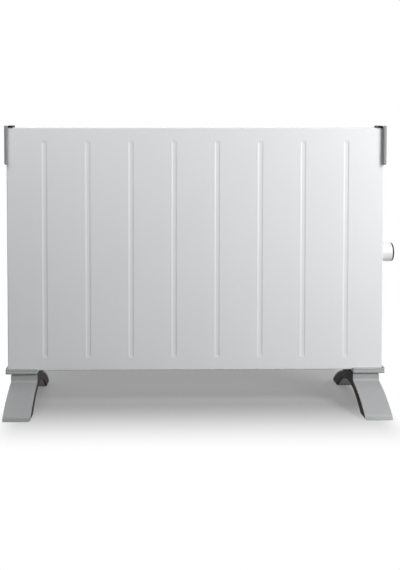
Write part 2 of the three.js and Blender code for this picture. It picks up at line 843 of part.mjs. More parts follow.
// Thermostat and knob, about local +Z from the outer face of the side panel
const dialTop = fitGap + dialSheet;
const nutSeat = dialTop + fitGap;
const knobBase = dialTop + knobClearance;
const knobEnd = knobBase + knobLength;
const boreRadius = shaftRadius + fitGap;
const shaftStart = -sheet - thermostatDepth * 0.7;
const shaftEnd = knobEnd - ringRecess - knobWall - fitGap;
const bushEnd = nutSeat + nutHeight + 0.8;

function thermostatBody() {
  const back = -sheet - fitGap;
  const half = [thermostatWidth / 2, thermostatHeight / 2];
  const deep = back - thermostatDepth;
  const housing = box([-half[1], half[1]], [-half[0], half[0]], [deep, back]);
  const bush = rod('z', [0, 0], [back - 1, bushEnd], bushRadius);
  const blades = [-1, 1].map((side) => {
    const x = side * bladeSpread;
    return box([x - bladeWidth / 2, x + bladeWidth / 2], [-0.5, 0.5], [deep - bladeLength, deep + 1]);
  });
  return joined([housing, bush, ...blades])
    .subtract(rod('z', [0, 0], [shaftStart - fitGap, bushEnd + 1], boreRadius, 20));
}

function thermostatNut() {
  const hexagon = roundPoints([0, 0], nutAcross / 2 / Math.cos(Math.PI / 6), 6);
  return prism(polygon(hexagon), 'z', [nutSeat, nutSeat + nutHeight])
    .subtract(rod('z', [0, 0], [0, bushEnd + 1], bushRadius + fitGap));
}

function thermostatShaft() {
  const flat = box([-9, 9], [shaftRadius - shaftFlat, 9], [bushEnd + 0.5, shaftEnd + 1]);
  return rod('z', [0, 0], [shaftStart, shaftEnd], shaftRadius, 20).subtract(flat);
}

function dialPlate() {
  return rod('z', [0, 0], [fitGap, dialTop], dialRadius, 40)
    .subtract(rod('z', [0, 0], [0, dialTop + 1], bushRadius + fitGap));
}

function knob() {
  const body = turned([
    [0, knobBase], [knobRadius, knobBase], [knobEndRadius, knobEnd], [0, knobEnd],
  ], 40);
  const mouth = nutSeat + nutHeight + knobSkirtDepth;
  const skirt = rod('z', [0, 0], [knobBase - 1, mouth], knobRadius - knobWall, 32);
  const hub = rod('z', [0, 0], [bushEnd + 0.6, mouth + 1], knobHubRadius, 20);
  const flat = box([-9, 9], [boreRadius - shaftFlat, 9], [0, shaftEnd + 1]);
  const bore = rod('z', [0, 0], [0, shaftEnd + fitGap], boreRadius, 20).subtract(flat);
  const seat = rod('z', [0, 0], [knobEnd - ringRecess, knobEnd + 1], knobEndRadius - 1.2, 40);
  const groove = box([knobEndRadius - 1.2, knobRadius + 1],
    [-pointerWidth / 2 - fitGap, pointerWidth / 2 + fitGap], [knobBase + pointerStart, knobEnd + 1]);
  return body.subtract(skirt.subtract(hub)).subtract(bore).subtract(seat).subtract(groove);
}

// Dark trim pressed into the end of the knob
function knobRing() {
  const low = knobEnd - ringRecess + fitGap;
  const brim = knobEnd + fitGap;
  return turned([
    [0, low], [knobEndRadius - 1.5, low], [knobEndRadius - 1.5, brim], [knobEndRadius - 0.1, brim],
    [knobEndRadius - 0.4, brim + ringThickness * 0.6],
    [knobEndRadius - 1.4, brim + ringThickness], [0, brim + ringThickness],
  ], 40);
}

function knobPointer() {
  const seat = knobEndRadius - 0.9;
  return box([seat, seat + pointerDepth], [-pointerWidth / 2, pointerWidth / 2],
    [knobBase + pointerStart + fitGap, knobEnd - fitGap]);
}

// Rocker switches, about the middle of each cut-out on the outer face of the side panel
function switchHousing() {
  const bezel = box([-switchWallZ - bezelMargin, switchWallZ + bezelMargin],
    [-switchWallY - bezelMargin, switchWallY + bezelMargin], [fitGap, fitGap + bezelThickness]);
  const body = box([-switchWallZ, switchWallZ], [-switchWallY, switchWallY], [-switchDepth, 1]);
  const cavity = box([-switchCavityZ, switchCavityZ], [-switchCavityY, switchCavityY], [-6, 3]);
  const pivotReach = switchCavityY + trunnionReach + fitGap;
  const pivot = rod('y', [0, 0], [-pivotReach, pivotReach], trunnionRadius + fitGap, 16);
  const blades = [-1, 0, 1].map((way) => {
    const x = way * switchBladePitch;
    return box([x - 2, x + 2], [-0.4, 0.4], [-switchDepth - switchBladeLength, 1 - switchDepth]);
  });
  return joined([bezel, body, ...blades]).subtract(cavity).subtract(pivot);
}

function switchRocker() {
  const foot = rockerHalfLength - 0.6;
  const outline = polygon([
    [-rockerHalfLength, rockerCrown], [-foot, 0.5], [-2.5, -2.6], [2.5, -2.6], [foot, 0.5],
    [rockerHalfLength, rockerCrown], [rockerHalfLength / 2, rockerCrown - rockerDish * 0.7],
    [0, rockerCrown - rockerDish], [-rockerHalfLength / 2, rockerCrown - rockerDish * 0.7],
  ]);
  const body = prism(outline, 'y', [-rockerHalfWidth, rockerHalfWidth]);
  const reach = switchCavityY + trunnionReach;
  return body.add(rod('y', [0, 0], [-reach, reach], trunnionRadius, 12));
}

// Electrical pieces inside the control compartment
const blockX = [halfWidth - blockInset, halfWidth - blockInset + blockWidth];
const blockZ = [floorGap + blockBase, floorGap + blockBase + blockHeight];
const blockY = [insideY - fitGap - blockDepth, insideY - fitGap];
const blockWays = [-1, 0, 1].map((way) => (blockX[0] + blockX[1]) / 2 + (way * blockWidth) / 3);
const blockMidY = (blockY[0] + blockY[1]) / 2;

function terminalBlock() {
  const wells = blockWays.map((x) =>
    rod('y', [x, (blockZ[0] + blockZ[1]) / 2], [blockY[0] - 1, blockY[0] + 6], 3, 12));
  return box(blockX, blockY, blockZ).subtract(joined(wells));
}

const earthZ = blockZ[1] + earthScrewGap;
const earthX = baffleX + baffleFlange / 2 + 1;
const earthSeat = insideY - fitGap - shieldSheet - fitGap;

function cordGland() {
  const seat = fitGap;
  const inside = -sheet - 2.5;
  const outerProfile = turned([
    [0, inside], [glandRadius, inside], [glandRadius, seat], [glandFlange, seat],
    [glandFlange, seat + 2], [glandFlange - 2.5, seat + glandProud], [0, seat + glandProud],
  ], 24);
  return outerProfile.subtract(rod('z', [0, 0], [inside - 1, seat + glandProud + 1], glandBore, 20));
}

function wire(points) {
  const corners = points.map((point) => new THREE.Vector3(...point));
  const path = new THREE.CatmullRomCurve3(corners, false, 'centripetal');
  const steps = 3 * (points.length - 1);
  const section = polygon(roundPoints([0, 0], wireRadius, 6));
  return solid(new THREE.ExtrudeGeometry(section, { steps, extrudePath: path }));
}

// Routes of the wires. Each starts and ends a small gap from the terminal that it serves.
const thermostatBladeX = halfWidth - sheet - fitGap - thermostatDepth - bladeLength;
const pinEnd = finRight + rodOverhang + pinLength;
const farPinEnd = -finLeft - rodOverhang - pinLength;
const switchBladeX = halfWidth - switchDepth - switchBladeLength;
const cutoutY = shieldDepth - fitGap - cutoutRadius - 4;
const cutoutEnd = cutoutRadius + cutoutBladeReach + fitGap;
const cutoutWireZ = cutoutZ + cutoutBladeHeight;
const elementY = -elementForward;
const behindSwitch = switchBladeX - fitGap - wireRadius;
const wireRoutes = {
  wire_supply: [
    [blockWays[2], blockMidY, blockZ[1] + fitGap],
    [blockWays[2], blockMidY, blockZ[1] + 20],
    [thermostatBladeX - 12, 4, knobHeight - 50],
    [thermostatBladeX - 7, 0, knobHeight - bladeSpread],
    [thermostatBladeX - fitGap, 0, knobHeight - bladeSpread],
  ],
  wire_switch_link: [
    [thermostatBladeX - fitGap, 0, knobHeight + bladeSpread],
    [thermostatBladeX - 7, 0, knobHeight + bladeSpread],
    [behindSwitch - 6, 0, switchHeights[0] - 16],
    [behindSwitch, 0, switchHeights[0] - switchBladePitch],
  ],
  wire_element_upper: [
    [behindSwitch, 0, switchHeights[1]],
    [behindSwitch - 12, -4, switchHeights[1] - 8],
    [baffleX + 14, -10, switchHeights[0] - 10],
    [baffleX + 14, -10, rodHeights[0] + 40],
    [baffleX + 10, elementY, rodHeights[0] + 4],
    [baffleX, elementY, rodHeights[0]],
    [pinEnd + fitGap, elementY, rodHeights[0]],
  ],
  wire_element_lower: [
    [behindSwitch, 0, switchHeights[0]],
    [behindSwitch - 9, 6, switchHeights[0] - 10],
    [baffleX + 20, 10, knobHeight + 20],
    [baffleX + 20, 10, rodHeights[1] + 50],
    [baffleX + 12, elementY + 3, rodHeights[1] + 3],
    [baffleX, elementY, rodHeights[1]],
    [pinEnd + fitGap, elementY, rodHeights[1]],
  ],
  wire_far_end: [
    [farPinEnd - wireRadius, elementY, rodHeights[1] - pinRadius],
    [farPinEnd - wireRadius - 1, elementY, rodHeights[0]],
    [farPinEnd - 1, elementY + 4, rodHeights[0] + 30],
    [farPinEnd + 30, elementY + 8, cutoutZ + 3],
    [cutoutX - 80, elementY + 2, cutoutWireZ],
    [cutoutX - cutoutEnd, cutoutY, cutoutWireZ],
  ],
  wire_neutral: [
    [cutoutX + cutoutEnd, cutoutY, cutoutWireZ],
    [baffleX - 24, 10, cutoutZ],
    [baffleX - 16, 14, cutoutZ - 40],
    [baffleX - 14, 12, farWireZ + 16],
    [baffleX - 6, elementY, farWireZ],
    [baffleX + 6, elementY, farWireZ],
    [blockWays[0] - 1, blockMidY - 3, blockZ[0] - 10],
    [blockWays[0], blockMidY, blockZ[0] - fitGap],
  ],
  wire_earth: [
    [blockWays[1], blockMidY, blockZ[1] + fitGap],
    [blockWays[1], blockMidY - 2, blockZ[1] + 8],
    [earthX + 4, blockMidY - 4, earthZ - 6],
    [earthX, earthSeat - screwHeadHeight - fitGap - 2, earthZ],
  ],
};
const wireSleeves = {
  wire_supply: darkPlastic,
  wire_switch_link: darkPlastic,
  wire_element_upper: sleeveRed,
  wire_element_lower: sleeveRed,
  wire_far_end: sleeveRed,
  wire_neutral: sleeveBlue,
  wire_earth: sleeveGreen,
};

// Assembly
function group(...children) {
  const made = new THREE.Group();
  made.add(...children);
  return made;
}

const casing = group(
  part('front_panel', frontPanel(), whiteSteel),
  part('rear_panel', rearPanel(), whiteSteel),
  part('side_panel_left', sidePanel(), whiteSteel, -1),
  part('side_panel_right', controlSide(), whiteSteel),
  part('outlet_grille', outletGrille(), whiteSteel),
  part('inlet_grille', grille(-1).subtract(footScrewHoles), whiteSteel),
  part('heat_shield', heatShield(), zincSteel),
  part('control_baffle', controlBaffle(), zincSteel),
  part('corner_cap_left', cornerCap(), capPlastic, -1),
  part('corner_cap_right', cornerCap(), capPlastic),
  part('cap_clip_left', capClip(), darkPlastic, -1),
  part('cap_clip_right', capClip(), darkPlastic),
  ...rearScrews(),
);

const supports = group(
  part('foot_left', foot(), greyPlastic, -1),
  part('foot_right', foot(), greyPlastic),
  part('foot_cover_left', footCover(), darkPlastic, -1),
  part('foot_cover_right', footCover(), darkPlastic),
  ...footScrews(),
  part('hanger_plate_left', hangerPlate(), zincSteel, -1),
  part('hanger_plate_right', hangerPlate(), zincSteel),
  ...spacerPlaces.map(([x, z]) =>
    placed(part(`wall_spacer_${x < 0 ? 'left' : 'right'}`, wallSpacer(), darkPlastic),
      [x, halfDepth, z], towardsRear)),
);

const heating = group(
  part('element_fins', elementFins(), aluminium),
  ...['upper', 'lower'].map((name, i) =>
    placed(part(`element_tube_${name}`, elementTube(), zincSteel),
      [-finLeft - rodOverhang, elementY, rodHeights[i]], towardsRight)),
  part('element_holder_left', elementHolder(holderLeft), ceramic),
  part('element_holder_right', elementHolder(holderRight), ceramic),
  part('element_bracket_left', elementBracket(holderLeft, -1), zincSteel),
  part('element_bracket_right', elementBracket(holderRight, 1), zincSteel),
  part('cutout_bracket', cutoutBracket(), zincSteel),
  placed(part('thermal_cutout', thermalCutout(), darkPlastic),
    [cutoutX, cutoutY, cutoutZ]),
);

const dialGroup = group(
  part('thermostat_body', thermostatBody(), darkPlastic),
  part('thermostat_nut', thermostatNut(), zincSteel),
  part('thermostat_shaft', thermostatShaft(), zincSteel),
  part('dial_plate', dialPlate(), greyPlastic),
  part('knob', knob(), whitePlastic),
  part('knob_ring', knobRing(), darkPlastic),
  part('knob_pointer', knobPointer(), darkPlastic),
);
placed(dialGroup, [halfWidth, 0, knobHeight], towardsRight);

const switches = group(...['lower', 'upper'].map((name, i) => {
  const housing = part(`switch_housing_${name}`, switchHousing(), darkPlastic);
  const rocker = part(`switch_rocker_${name}`, switchRocker(), darkPlastic);
  rocker.rotation.y = THREE.MathUtils.degToRad(rockerTilt);
  return placed(group(housing, rocker), [halfWidth, 0, switchHeights[i]], towardsRight);
}));

const wiring = group(
  part('terminal_block', terminalBlock(), ceramic),
  placed(part('earth_screw', screw(rearScrewRadius, shieldSheet + fitGap, rearScrewHead), zincSteel),
    [earthX, earthSeat, earthZ], [Math.PI / 2, 0, 0]),
  placed(part('cord_gland', cordGland(), darkPlastic),
    [glandPlace[0], halfDepth, glandPlace[1]], towardsRear),
  ...Object.entries(wireRoutes).map(([name, route]) => part(name, wire(route), wireSleeves[name])),
);

// The origin is on the floor under the middle of the whole outline, knob included.
const leftmost = -halfWidth - rimOverhang;
const rightmost = halfWidth + knobEnd + fitGap + ringThickness;
const heater = group(casing, supports, heating, dialGroup, switches, wiring);
heater.position.x = -(leftmost + rightmost) / 2;
heater.updateMatrixWorld(true);

export default heater;
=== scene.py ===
import json
import math

import bmesh
import bpy
from mathutils import Matrix, Vector


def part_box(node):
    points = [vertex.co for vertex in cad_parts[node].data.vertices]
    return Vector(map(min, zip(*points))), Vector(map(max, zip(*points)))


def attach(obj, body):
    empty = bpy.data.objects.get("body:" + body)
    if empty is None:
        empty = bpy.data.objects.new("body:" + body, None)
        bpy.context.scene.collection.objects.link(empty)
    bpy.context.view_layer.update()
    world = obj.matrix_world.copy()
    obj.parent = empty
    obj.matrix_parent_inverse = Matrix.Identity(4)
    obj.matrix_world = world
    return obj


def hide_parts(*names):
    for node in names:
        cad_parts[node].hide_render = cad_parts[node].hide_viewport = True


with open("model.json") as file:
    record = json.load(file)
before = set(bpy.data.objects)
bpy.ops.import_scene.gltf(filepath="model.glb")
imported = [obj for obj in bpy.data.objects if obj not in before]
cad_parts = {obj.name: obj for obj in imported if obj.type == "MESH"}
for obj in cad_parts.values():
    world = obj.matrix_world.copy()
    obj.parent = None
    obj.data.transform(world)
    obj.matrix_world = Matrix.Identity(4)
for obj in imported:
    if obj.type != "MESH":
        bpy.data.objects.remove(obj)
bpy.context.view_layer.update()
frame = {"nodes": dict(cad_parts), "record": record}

# Lengths below are millimetres in the casing's own frame: X is 0 at the middle of the front panel,
# Y is 0 half way through the casing, and Z is 0 on the floor. A finished mesh is in metres.
MM = 0.001
panel_low, panel_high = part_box("front_panel")
MIDDLE = (panel_low.x + panel_high.x) / 2
HALF_WIDTH = (panel_high.x - panel_low.x) / 2 / MM
HALF_DEPTH = -panel_low.y / MM
BOTTOM = panel_low.z / MM
TOP = panel_high.z / MM

SHEET = 1.2
FOLD = 1.8
GAP = 0.3
SIDE_RETURN = 5.3
LIP_DEPTH = 9.0
LIP_SETBACK = 6.0

GROOVES = 8
GROOVE_EDGE = 62.0
GROOVE_TOP = 20.0
GROOVE_BOTTOM = 19.5
GROOVE_WIDTH = 9.4
GROOVE_FLOOR = 3.8
GROOVE_WALL = (GROOVE_WIDTH - GROOVE_FLOOR) / 2
GROOVE_RUN_OUT = 7.0
GROOVE_DEPTH = 0.75

FOOT_WIDTH = 43.3
FOOT_INSET = 5.5
FOOT_REACH = 104.0
ARCH_REACH = 78.0
ARCH_HEIGHT = 32.0
FOOT_OUTER = HALF_WIDTH - FOOT_INSET
FOOT_INNER = FOOT_OUTER - FOOT_WIDTH
NECK = HALF_DEPTH + 3.0
NECK_TOP = 52.5
KNEE = 41.0
TOE_SETBACK = 1.5
TOE_HEIGHT = 5.5
TOE_CORNER_WIDTH = 2.4
TOE_CORNER_HEIGHT = 3.8
FOOT_WALL = 2.8
COVER = 3.0
COVER_LIFT = 0.6
RIM_PROUD = 5.8
RIM_BASE = 54.0
RIM_BEAD = 4.6
RIM_STEP = 0.9
RIM_LAP = 3.1
RIM_SETBACK = 0.6
RIM_OVERHANG = 3.0
RIM_END_LAP = 5.0
RIM_END_PROUD = 4.3
WAIST_INSET = 1.8

FOOT_SCREW_X = FOOT_OUTER - FOOT_WIDTH / 2
FOOT_SCREW_Y = HALF_DEPTH - 4.5
FOOT_SCREW_HOLE = 2.3
FOOT_SCREW_ACCESS = 5.5
REAR_SCREW_X = HALF_WIDTH - 9.0
REAR_SCREW_LOW = BOTTOM + 62
REAR_SCREW_HIGH = TOP - 127
REAR_SCREW_HOLE = 1.9
SCREW_HEAD_HEIGHT = 2.4
GLAND = (HALF_WIDTH - 42.0, BOTTOM + 16.0)
GLAND_HOLE = 8.3
SPACER_X = 180.0
SPACER_HEIGHT = BOTTOM + 12.0
SPACER_HOLE = 4.3

VENT_LENGTH = 30.0
VENT_HEIGHT = 4.0
VENT_PITCH = 46.0
VENT_ROW_PITCH = 16.0
VENT_EDGE = 92.0
VENT_BASE = 52.0
GRILLE_RISE = 2.7
SLOT_WIDTH = 9.0
SLOT_PITCH = 16.0
SLOT_MARGIN = 4.0
SLOT_END = 22.0

CAP_HEIGHT = 64.0
CAP_RISE = 3.3
CAP_WALL = 2.2
CAP_PROUD = 6.0
CAP_OVERLAP = 3.2
CAP_ROUNDING = 1.8
CLIP_END = HALF_WIDTH - CAP_OVERLAP - GAP
CLIP_LENGTH = 7.0
CLIP_DEPTH = 24.0
CLIP_PROUD = 2.5
CLIP_RISE = 4.8
PEG_MARGIN = 1.0
PEG_FRONT = -17.0
PEG_REAR = -9.0
PEG_DROP = 6.0

KNOB_HEIGHT = 251.5
KNOB_BASE = 2.1
KNOB_RADIUS = 16.5
KNOB_END_RADIUS = 15.75
KNOB_END = 20.5
KNOB_RIM = 1.2
KNOB_WALL = 2.2
SKIRT_TOP = 10.1
HUB_BASE = 5.3
HUB_RADIUS = 6.0
SHAFT_BORE = 3.3
SHAFT_BORE_TOP = 16.9
DIAL_RADIUS = 22.0
DIAL_TOP = 1.3
DIAL_BORE = 5.3
DIAL_START = math.radians(-180)
DIAL_SWEEP = math.radians(285)
FIGURES = 7
FIGURE_RADIUS = 19.4
FIGURE_SIZE = 3.4
TICKS = 25
TICK_INNER = 17.3
TICK_OUTER = 18.1
INK_DEPTH = 0.06
SWITCH_HEIGHTS = {"lower": KNOB_HEIGHT + 48, "upper": KNOB_HEIGHT + 80}

scene = bpy.context.scene
scene.view_settings.view_transform = "Standard"


# Meshes

def new_object(name, bm):
    mesh = bpy.data.meshes.new(name)
    bm.to_mesh(mesh)
    bm.free()
    made = bpy.data.objects.new(name, mesh)
    scene.collection.objects.link(made)
    return made


def baked(piece):
    """Turns a piece's modifiers into its mesh."""
    graph = bpy.context.evaluated_depsgraph_get()
    graph.update()
    mesh = bpy.data.meshes.new_from_object(piece.evaluated_get(graph), depsgraph=graph)
    piece.modifiers.clear()
    old = piece.data
    piece.data = mesh
    bpy.data.meshes.remove(old)
    mesh.name = piece.name
    return piece


def combine(piece, other, operation):
    step = piece.modifiers.new("combine", "BOOLEAN")
    step.operation = operation
    step.solver = "EXACT"
    step.object = other
    baked(piece)
    bpy.data.objects.remove(other)
    return piece


def cut(piece, *tools):
    for tool in tools:
        combine(piece, tool, "DIFFERENCE")
    return piece


def united(piece, *others):
    for other in others:
        combine(piece, other, "UNION")
    return piece


def mesh_of(piece):
    bm = bmesh.new()
    bm.from_mesh(piece.data)
    return bm


def put_back(piece, bm):
    bm.to_mesh(piece.data)
    bm.free()
    return piece


def softened(piece, width, segments=2, angle=35):
    """Rounds a piece's sharp edges by a width in its own unit."""
    step = piece.modifiers.new("round", "BEVEL")
    step.width = width
    step.segments = segments
    step.limit_method = "ANGLE"
    step.angle_limit = math.radians(angle)
    step.use_clamp_overlap = True
    step.miter_outer = "MITER_ARC"
    return baked(piece)


def smoothed(piece, angle=40):
    piece.data.shade_smooth()
    piece.data.set_sharp_from_angle(angle=math.radians(angle))
    step = piece.modifiers.new("even", "WEIGHTED_NORMAL")
    step.keep_sharp = True
    step.weight = 80
    return baked(piece)


def mirrored(piece, name):
    """The left-hand twin of a right-hand piece that is still in casing millimetres."""
    bm = mesh_of(piece)
    bm.transform(Matrix.Scale(-1, 4, Vector((1, 0, 0))))
    bmesh.ops.reverse_faces(bm, faces=bm.faces)
    return new_object(name, bm)


def handed_over(piece, finish, body, stands_for, angle=40):
    """Gives a piece in the row frame its finish and hands it to its body."""
    piece.data.materials.clear()
    piece.data.materials.append(finish)
    smoothed(piece, angle)
    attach(piece, body)
    if stands_for:
        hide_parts(*stands_for)


def finished(piece, slot, *stands_for, body="casing", finish=None, angle=40):
    """Moves a piece from casing millimetres to the row frame in metres and hands it over."""
    bm = mesh_of(piece)
    bm.transform(Matrix.Translation((MIDDLE, 0, 0)) @ Matrix.Scale(MM, 4))
    put_back(piece, bm)
    handed_over(piece, finish or finishes[slot], body, stands_for, angle)


def finished_pair(piece, name, slot, node, rounding=None):
    """Finishes a right-hand piece and its mirrored twin on the left."""
    piece.name = f"{name}_right"
    twin = mirrored(piece, f"{name}_left")
    for made, side in ((piece, "right"), (twin, "left")):
        if rounding:
            softened(made, *rounding)
        finished(made, slot, f"{node}_{side}")


def block(name, x, y, z):
    bm = bmesh.new()
    bmesh.ops.create_cube(bm, size=1)
    size = Vector((x[1] - x[0], y[1] - y[0], z[1] - z[0]))
    middle = Vector(((x[0] + x[1]) / 2, (y[0] + y[1]) / 2, (z[0] + z[1]) / 2))
    bm.transform(Matrix.Translation(middle) @ Matrix.Diagonal((*size, 1)))
    return new_object(name, bm)


def rounded_box(name, x, y, z, radius, segments=5):
    piece = block(name, x, y, z)
    bm = mesh_of(piece)
    bmesh.ops.bevel(bm, geom=bm.edges[:], offset=radius, segments=segments, profile=0.5,
                    affect="EDGES")
    return put_back(piece, bm)


def prism(name, outline, axis, span):
    """A prism along an axis: its outline is (y, z) for x, (x, z) for y and (x, y) for z."""
    def corner(pair, along):
        a, b = pair
        return {"x": (along, a, b), "y": (a, along, b), "z": (a, b, along)}[axis]

    bm = bmesh.new()
    ends = [[bm.verts.new(corner(pair, along)) for pair in outline] for along in span]
    bm.faces.new(ends[0])
    bm.faces.new(reversed(ends[1]))
    count = len(outline)
    for i in range(count):
        j = (i + 1) % count
        bm.faces.new((ends[0][j], ends[0][i], ends[1][i], ends[1][j]))
    bmesh.ops.recalc_face_normals(bm, faces=bm.faces)
    return new_object(name, bm)


def circle(centre, radius, sides=48):
    turn = [2 * math.pi * (i + 0.5) / sides for i in range(sides)]
    return [(centre[0] + radius * math.cos(t), centre[1] + radius * math.sin(t)) for t in turn]


def rod(name, axis, centre, span, radius, sides=48):
    return prism(name, circle(centre, radius, sides), axis, span)


def turned(name, profile, sides=96):
    """A turned piece about local Z, from (radius, height) pairs that start and end on Z."""
    bm = bmesh.new()
    rings = []
    for radius, height in profile:
        if radius < 1e-6:
            rings.append([bm.verts.new((0, 0, height))])
            continue
        turn = [2 * math.pi * i / sides for i in range(sides)]
        places = [(radius * math.cos(t), radius * math.sin(t), height) for t in turn]
        rings.append([bm.verts.new(place) for place in places])
    for low, high in zip(rings, rings[1:]):
        for i in range(sides):
            j = (i + 1) % sides
            quad = [low[i % len(low)], low[j % len(low)], high[j % len(high)], high[i % len(high)]]
            corners = list(dict.fromkeys(quad))
            if len(corners) > 2:
                bm.faces.new(corners)
    bmesh.ops.recalc_face_normals(bm, faces=bm.faces)
    return new_object(name, bm)


def rounded_profile(corners, steps=5):
    """A profile whose corners (radius, height, fillet) are rounded where a fillet is given."""
    points = []
    for i, (a, b, fillet) in enumerate(corners):
        here = Vector((a, b))
        if not fillet:
            points.append((a, b))
            continue
        before = Vector(corners[i - 1][:2]) - here
        after = Vector(corners[i + 1][:2]) - here
        reach = fillet / math.tan(before.angle(after) / 2)
        start, end = here + before.normalized() * reach, here + after.normalized() * reach
        for k in range(steps + 1):
            t = k / steps
            point = start * (1 - t) ** 2 + here * 2 * t * (1 - t) + end * t ** 2
            points.append(tuple(point))
    return points


def curve(start, bend, end, steps):
    """Points on a bent line between two ends, drawn towards the bend."""
    made = []
    for i in range(steps + 1):
        t = i / steps
        shares = list(zip(((1 - t) ** 2, 2 * t * (1 - t), t ** 2), (start, bend, end)))
        made.append(tuple(sum(share * point[k] for share, point in shares) for k in (0, 1)))
    return made


def turn_to(piece, rotation, position):
    """Turns a piece that is built about Z and moves it to its place, in casing millimetres."""
    bm = mesh_of(piece)
    bm.transform(Matrix.Translation(position) @ rotation)
    return put_back(piece, bm)


def eased(value):
    """A soft step from 0 to 1, for a number or a shader socket between 0 and 1."""
    return value * value * (3.0 - 2.0 * value)


TO_RIGHT = Matrix.Rotation(math.pi / 2, 4, "Y")
TO_REAR = Matrix.Rotation(-math.pi / 2, 4, "X")
DOWNWARDS = Matrix.Rotation(math.pi, 4, "X")
FACING_RIGHT = Matrix(((0, 0, 1, 0), (1, 0, 0, 0), (0, 1, 0, 0), (0, 0, 0, 1)))
UPRIGHT = (math.pi / 2, 0, 0)


# Finishes

class Link:
    """A shader socket that takes part in plain arithmetic."""

    def __init__(self, finish, socket):
        self.finish = finish
        self.socket = socket

    def maths(self, operation, *values):
        return self.finish.node("ShaderNodeMath", {"operation": operation}, dict(enumerate(values)))

    def __add__(self, other):
        return self.maths("ADD", self, other)

    def __radd__(self, other):
        return self.maths("ADD", other, self)

    def __sub__(self, other):
        return self.maths("SUBTRACT", self, other)

    def __rsub__(self, other):
        return self.maths("SUBTRACT", other, self)

    def __mul__(self, other):
        return self.maths("MULTIPLY", self, other)

    def __rmul__(self, other):
        return self.maths("MULTIPLY", other, self)

    def __truediv__(self, other):
        return self.maths("DIVIDE", self, other)

    def clamped(self):
        return self.maths("MAXIMUM", self.maths("MINIMUM", self, 1.0), 0.0)


class Finish:
    """A procedural material on Object coordinates, with one principled surface."""

    def __init__(self, name, **constants):
        self.material = bpy.data.materials.new(name)
        self.material.use_nodes = True
        self.tree = self.material.node_tree
        self.surface = self.tree.nodes["Principled BSDF"]
        self.output = self.tree.nodes["Material Output"]
        for socket, value in constants.items():
            self.surface.inputs[socket.replace("_", " ")].default_value = value

    def node(self, kind, settings=None, values=None, output=0):
        made = self.tree.nodes.new(kind)
        for key, value in (settings or {}).items():
            setattr(made, key, value)
        for key, value in (values or {}).items():
            self.put(made.inputs[key], value)
        return Link(self, made.outputs[output])

    def put(self, socket, value):
        if isinstance(value, Link):
            self.tree.links.new(value.socket, socket)
        else:
            socket.default_value = value

    def place(self):
        return self.node("ShaderNodeTexCoord", output="Object")

    def noise(self, scale, detail=3.0, roughness=0.5, stretch=(1, 1, 1)):
        place = self.place()
        if stretch != (1, 1, 1):
            place = self.node("ShaderNodeMapping", None, {"Vector": place, "Scale": stretch})
        return self.node("ShaderNodeTexNoise", None, {
            "Vector": place, "Scale": scale, "Detail": detail, "Roughness": roughness})

    def cells(self, scale):
        return self.node("ShaderNodeTexVoronoi", None, {"Vector": self.place(), "Scale": scale})

    def blend(self, factor, first, second):
        settings = {"data_type": "RGBA", "blend_type": "MIX"}
        made = self.node("ShaderNodeMix", settings, output=2)
        node = made.socket.node
        self.put(node.inputs[0], factor)
        self.put(node.inputs[6], first)
        self.put(node.inputs[7], second)
        return made

    def vary(self, socket, value):
        self.put(self.surface.inputs[socket], value)

    def relief(self, height, depth, strength=1.0):
        """Bump whose full height is a real depth in metres."""
        bump = self.node("ShaderNodeBump", None, {
            "Strength": strength, "Distance": depth, "Height": height})
        self.vary("Normal", bump)
        return self


def shade(value, factor=1.0):
    """A colour with its alpha, from a grey or a colour that a factor makes darker or lighter."""
    if isinstance(value, (int, float)):
        value = (value, value, value)
    return (*(min(c * factor, 1) for c in value), 1.0)


def powder_paint(name, color):
    """Oven-baked powder paint on steel: satin, a fine orange peel and a breath of unevenness."""
    finish = Finish(name, Coat_Roughness=0.22, IOR=1.48)
    cloud = finish.noise(9.0, 2.0)
    finish.vary("Base Color", finish.blend(cloud, shade(color, 0.975), shade(color, 1.012)))
    finish.vary("Roughness", 0.4 + finish.noise(35.0, 2.0) * 0.1)
    finish.vary("Coat Weight", 0.1 + cloud * 0.08)
    peel = finish.noise(620.0, 2.0, 0.45)
    return finish.relief(peel, 0.00004, 0.35).material


def moulded(name, color, rough, grain, sheen=0.0):
    """Moulded plastic with a fine spark-eroded grain and slightly uneven gloss."""
    finish = Finish(name, IOR=1.5, Specular_IOR_Level=0.45 + sheen)
    cloud = finish.noise(26.0, 3.0)
    speck = finish.noise(1400.0, 2.0, 0.6)
    finish.vary("Base Color", finish.blend(
        (cloud * 0.7 + speck * 0.3).clamped(), shade(color, 0.93), shade(color, 1.07)))
    finish.vary("Roughness", (rough - 0.06 + cloud * 0.12).clamped())
    return finish.relief(speck, grain, 0.6).material


def zinc_plate(name, color):
    """Zinc-plated steel with soft spangles and fine rolling lines."""
    finish = Finish(name, Metallic=1.0)
    spangle = finish.cells(160.0)
    lines = finish.noise(240.0, 3.0, 0.6, (1, 1, 0.06))
    finish.vary("Base Color", finish.blend(
        (spangle * 0.8 + lines * 0.3).clamped(), shade(color, 0.82), shade(color)))
    finish.vary("Roughness", (0.26 + lines * 0.16 + spangle * 0.1).clamped())
    return finish.relief(lines, 0.00002, 0.5).material


def drawn_aluminium(name):
    """Extruded aluminium with die lines along X."""
    finish = Finish(name, Metallic=1.0)
    lines = finish.noise(900.0, 2.0, 0.6, (0.02, 1, 1))
    finish.vary("Base Color", finish.blend(lines, shade(0.56), shade((0.74, 0.75, 0.76))))
    finish.vary("Roughness", 0.3 + lines * 0.18)
    return finish.relief(lines, 0.00003, 0.5).material


def fired_ceramic(name):
    """Unglazed steatite: chalky cream with small pits."""
    finish = Finish(name, Roughness=0.75)
    pits = finish.cells(900.0)
    cloud = finish.noise(60.0, 3.0)
    finish.vary("Base Color", finish.blend(
        (cloud * 0.6 + pits * 0.5).clamped(), shade((0.62, 0.57, 0.48)), shade((0.8, 0.76, 0.68))))
    return finish.relief(pits, 0.00006, 0.5).material


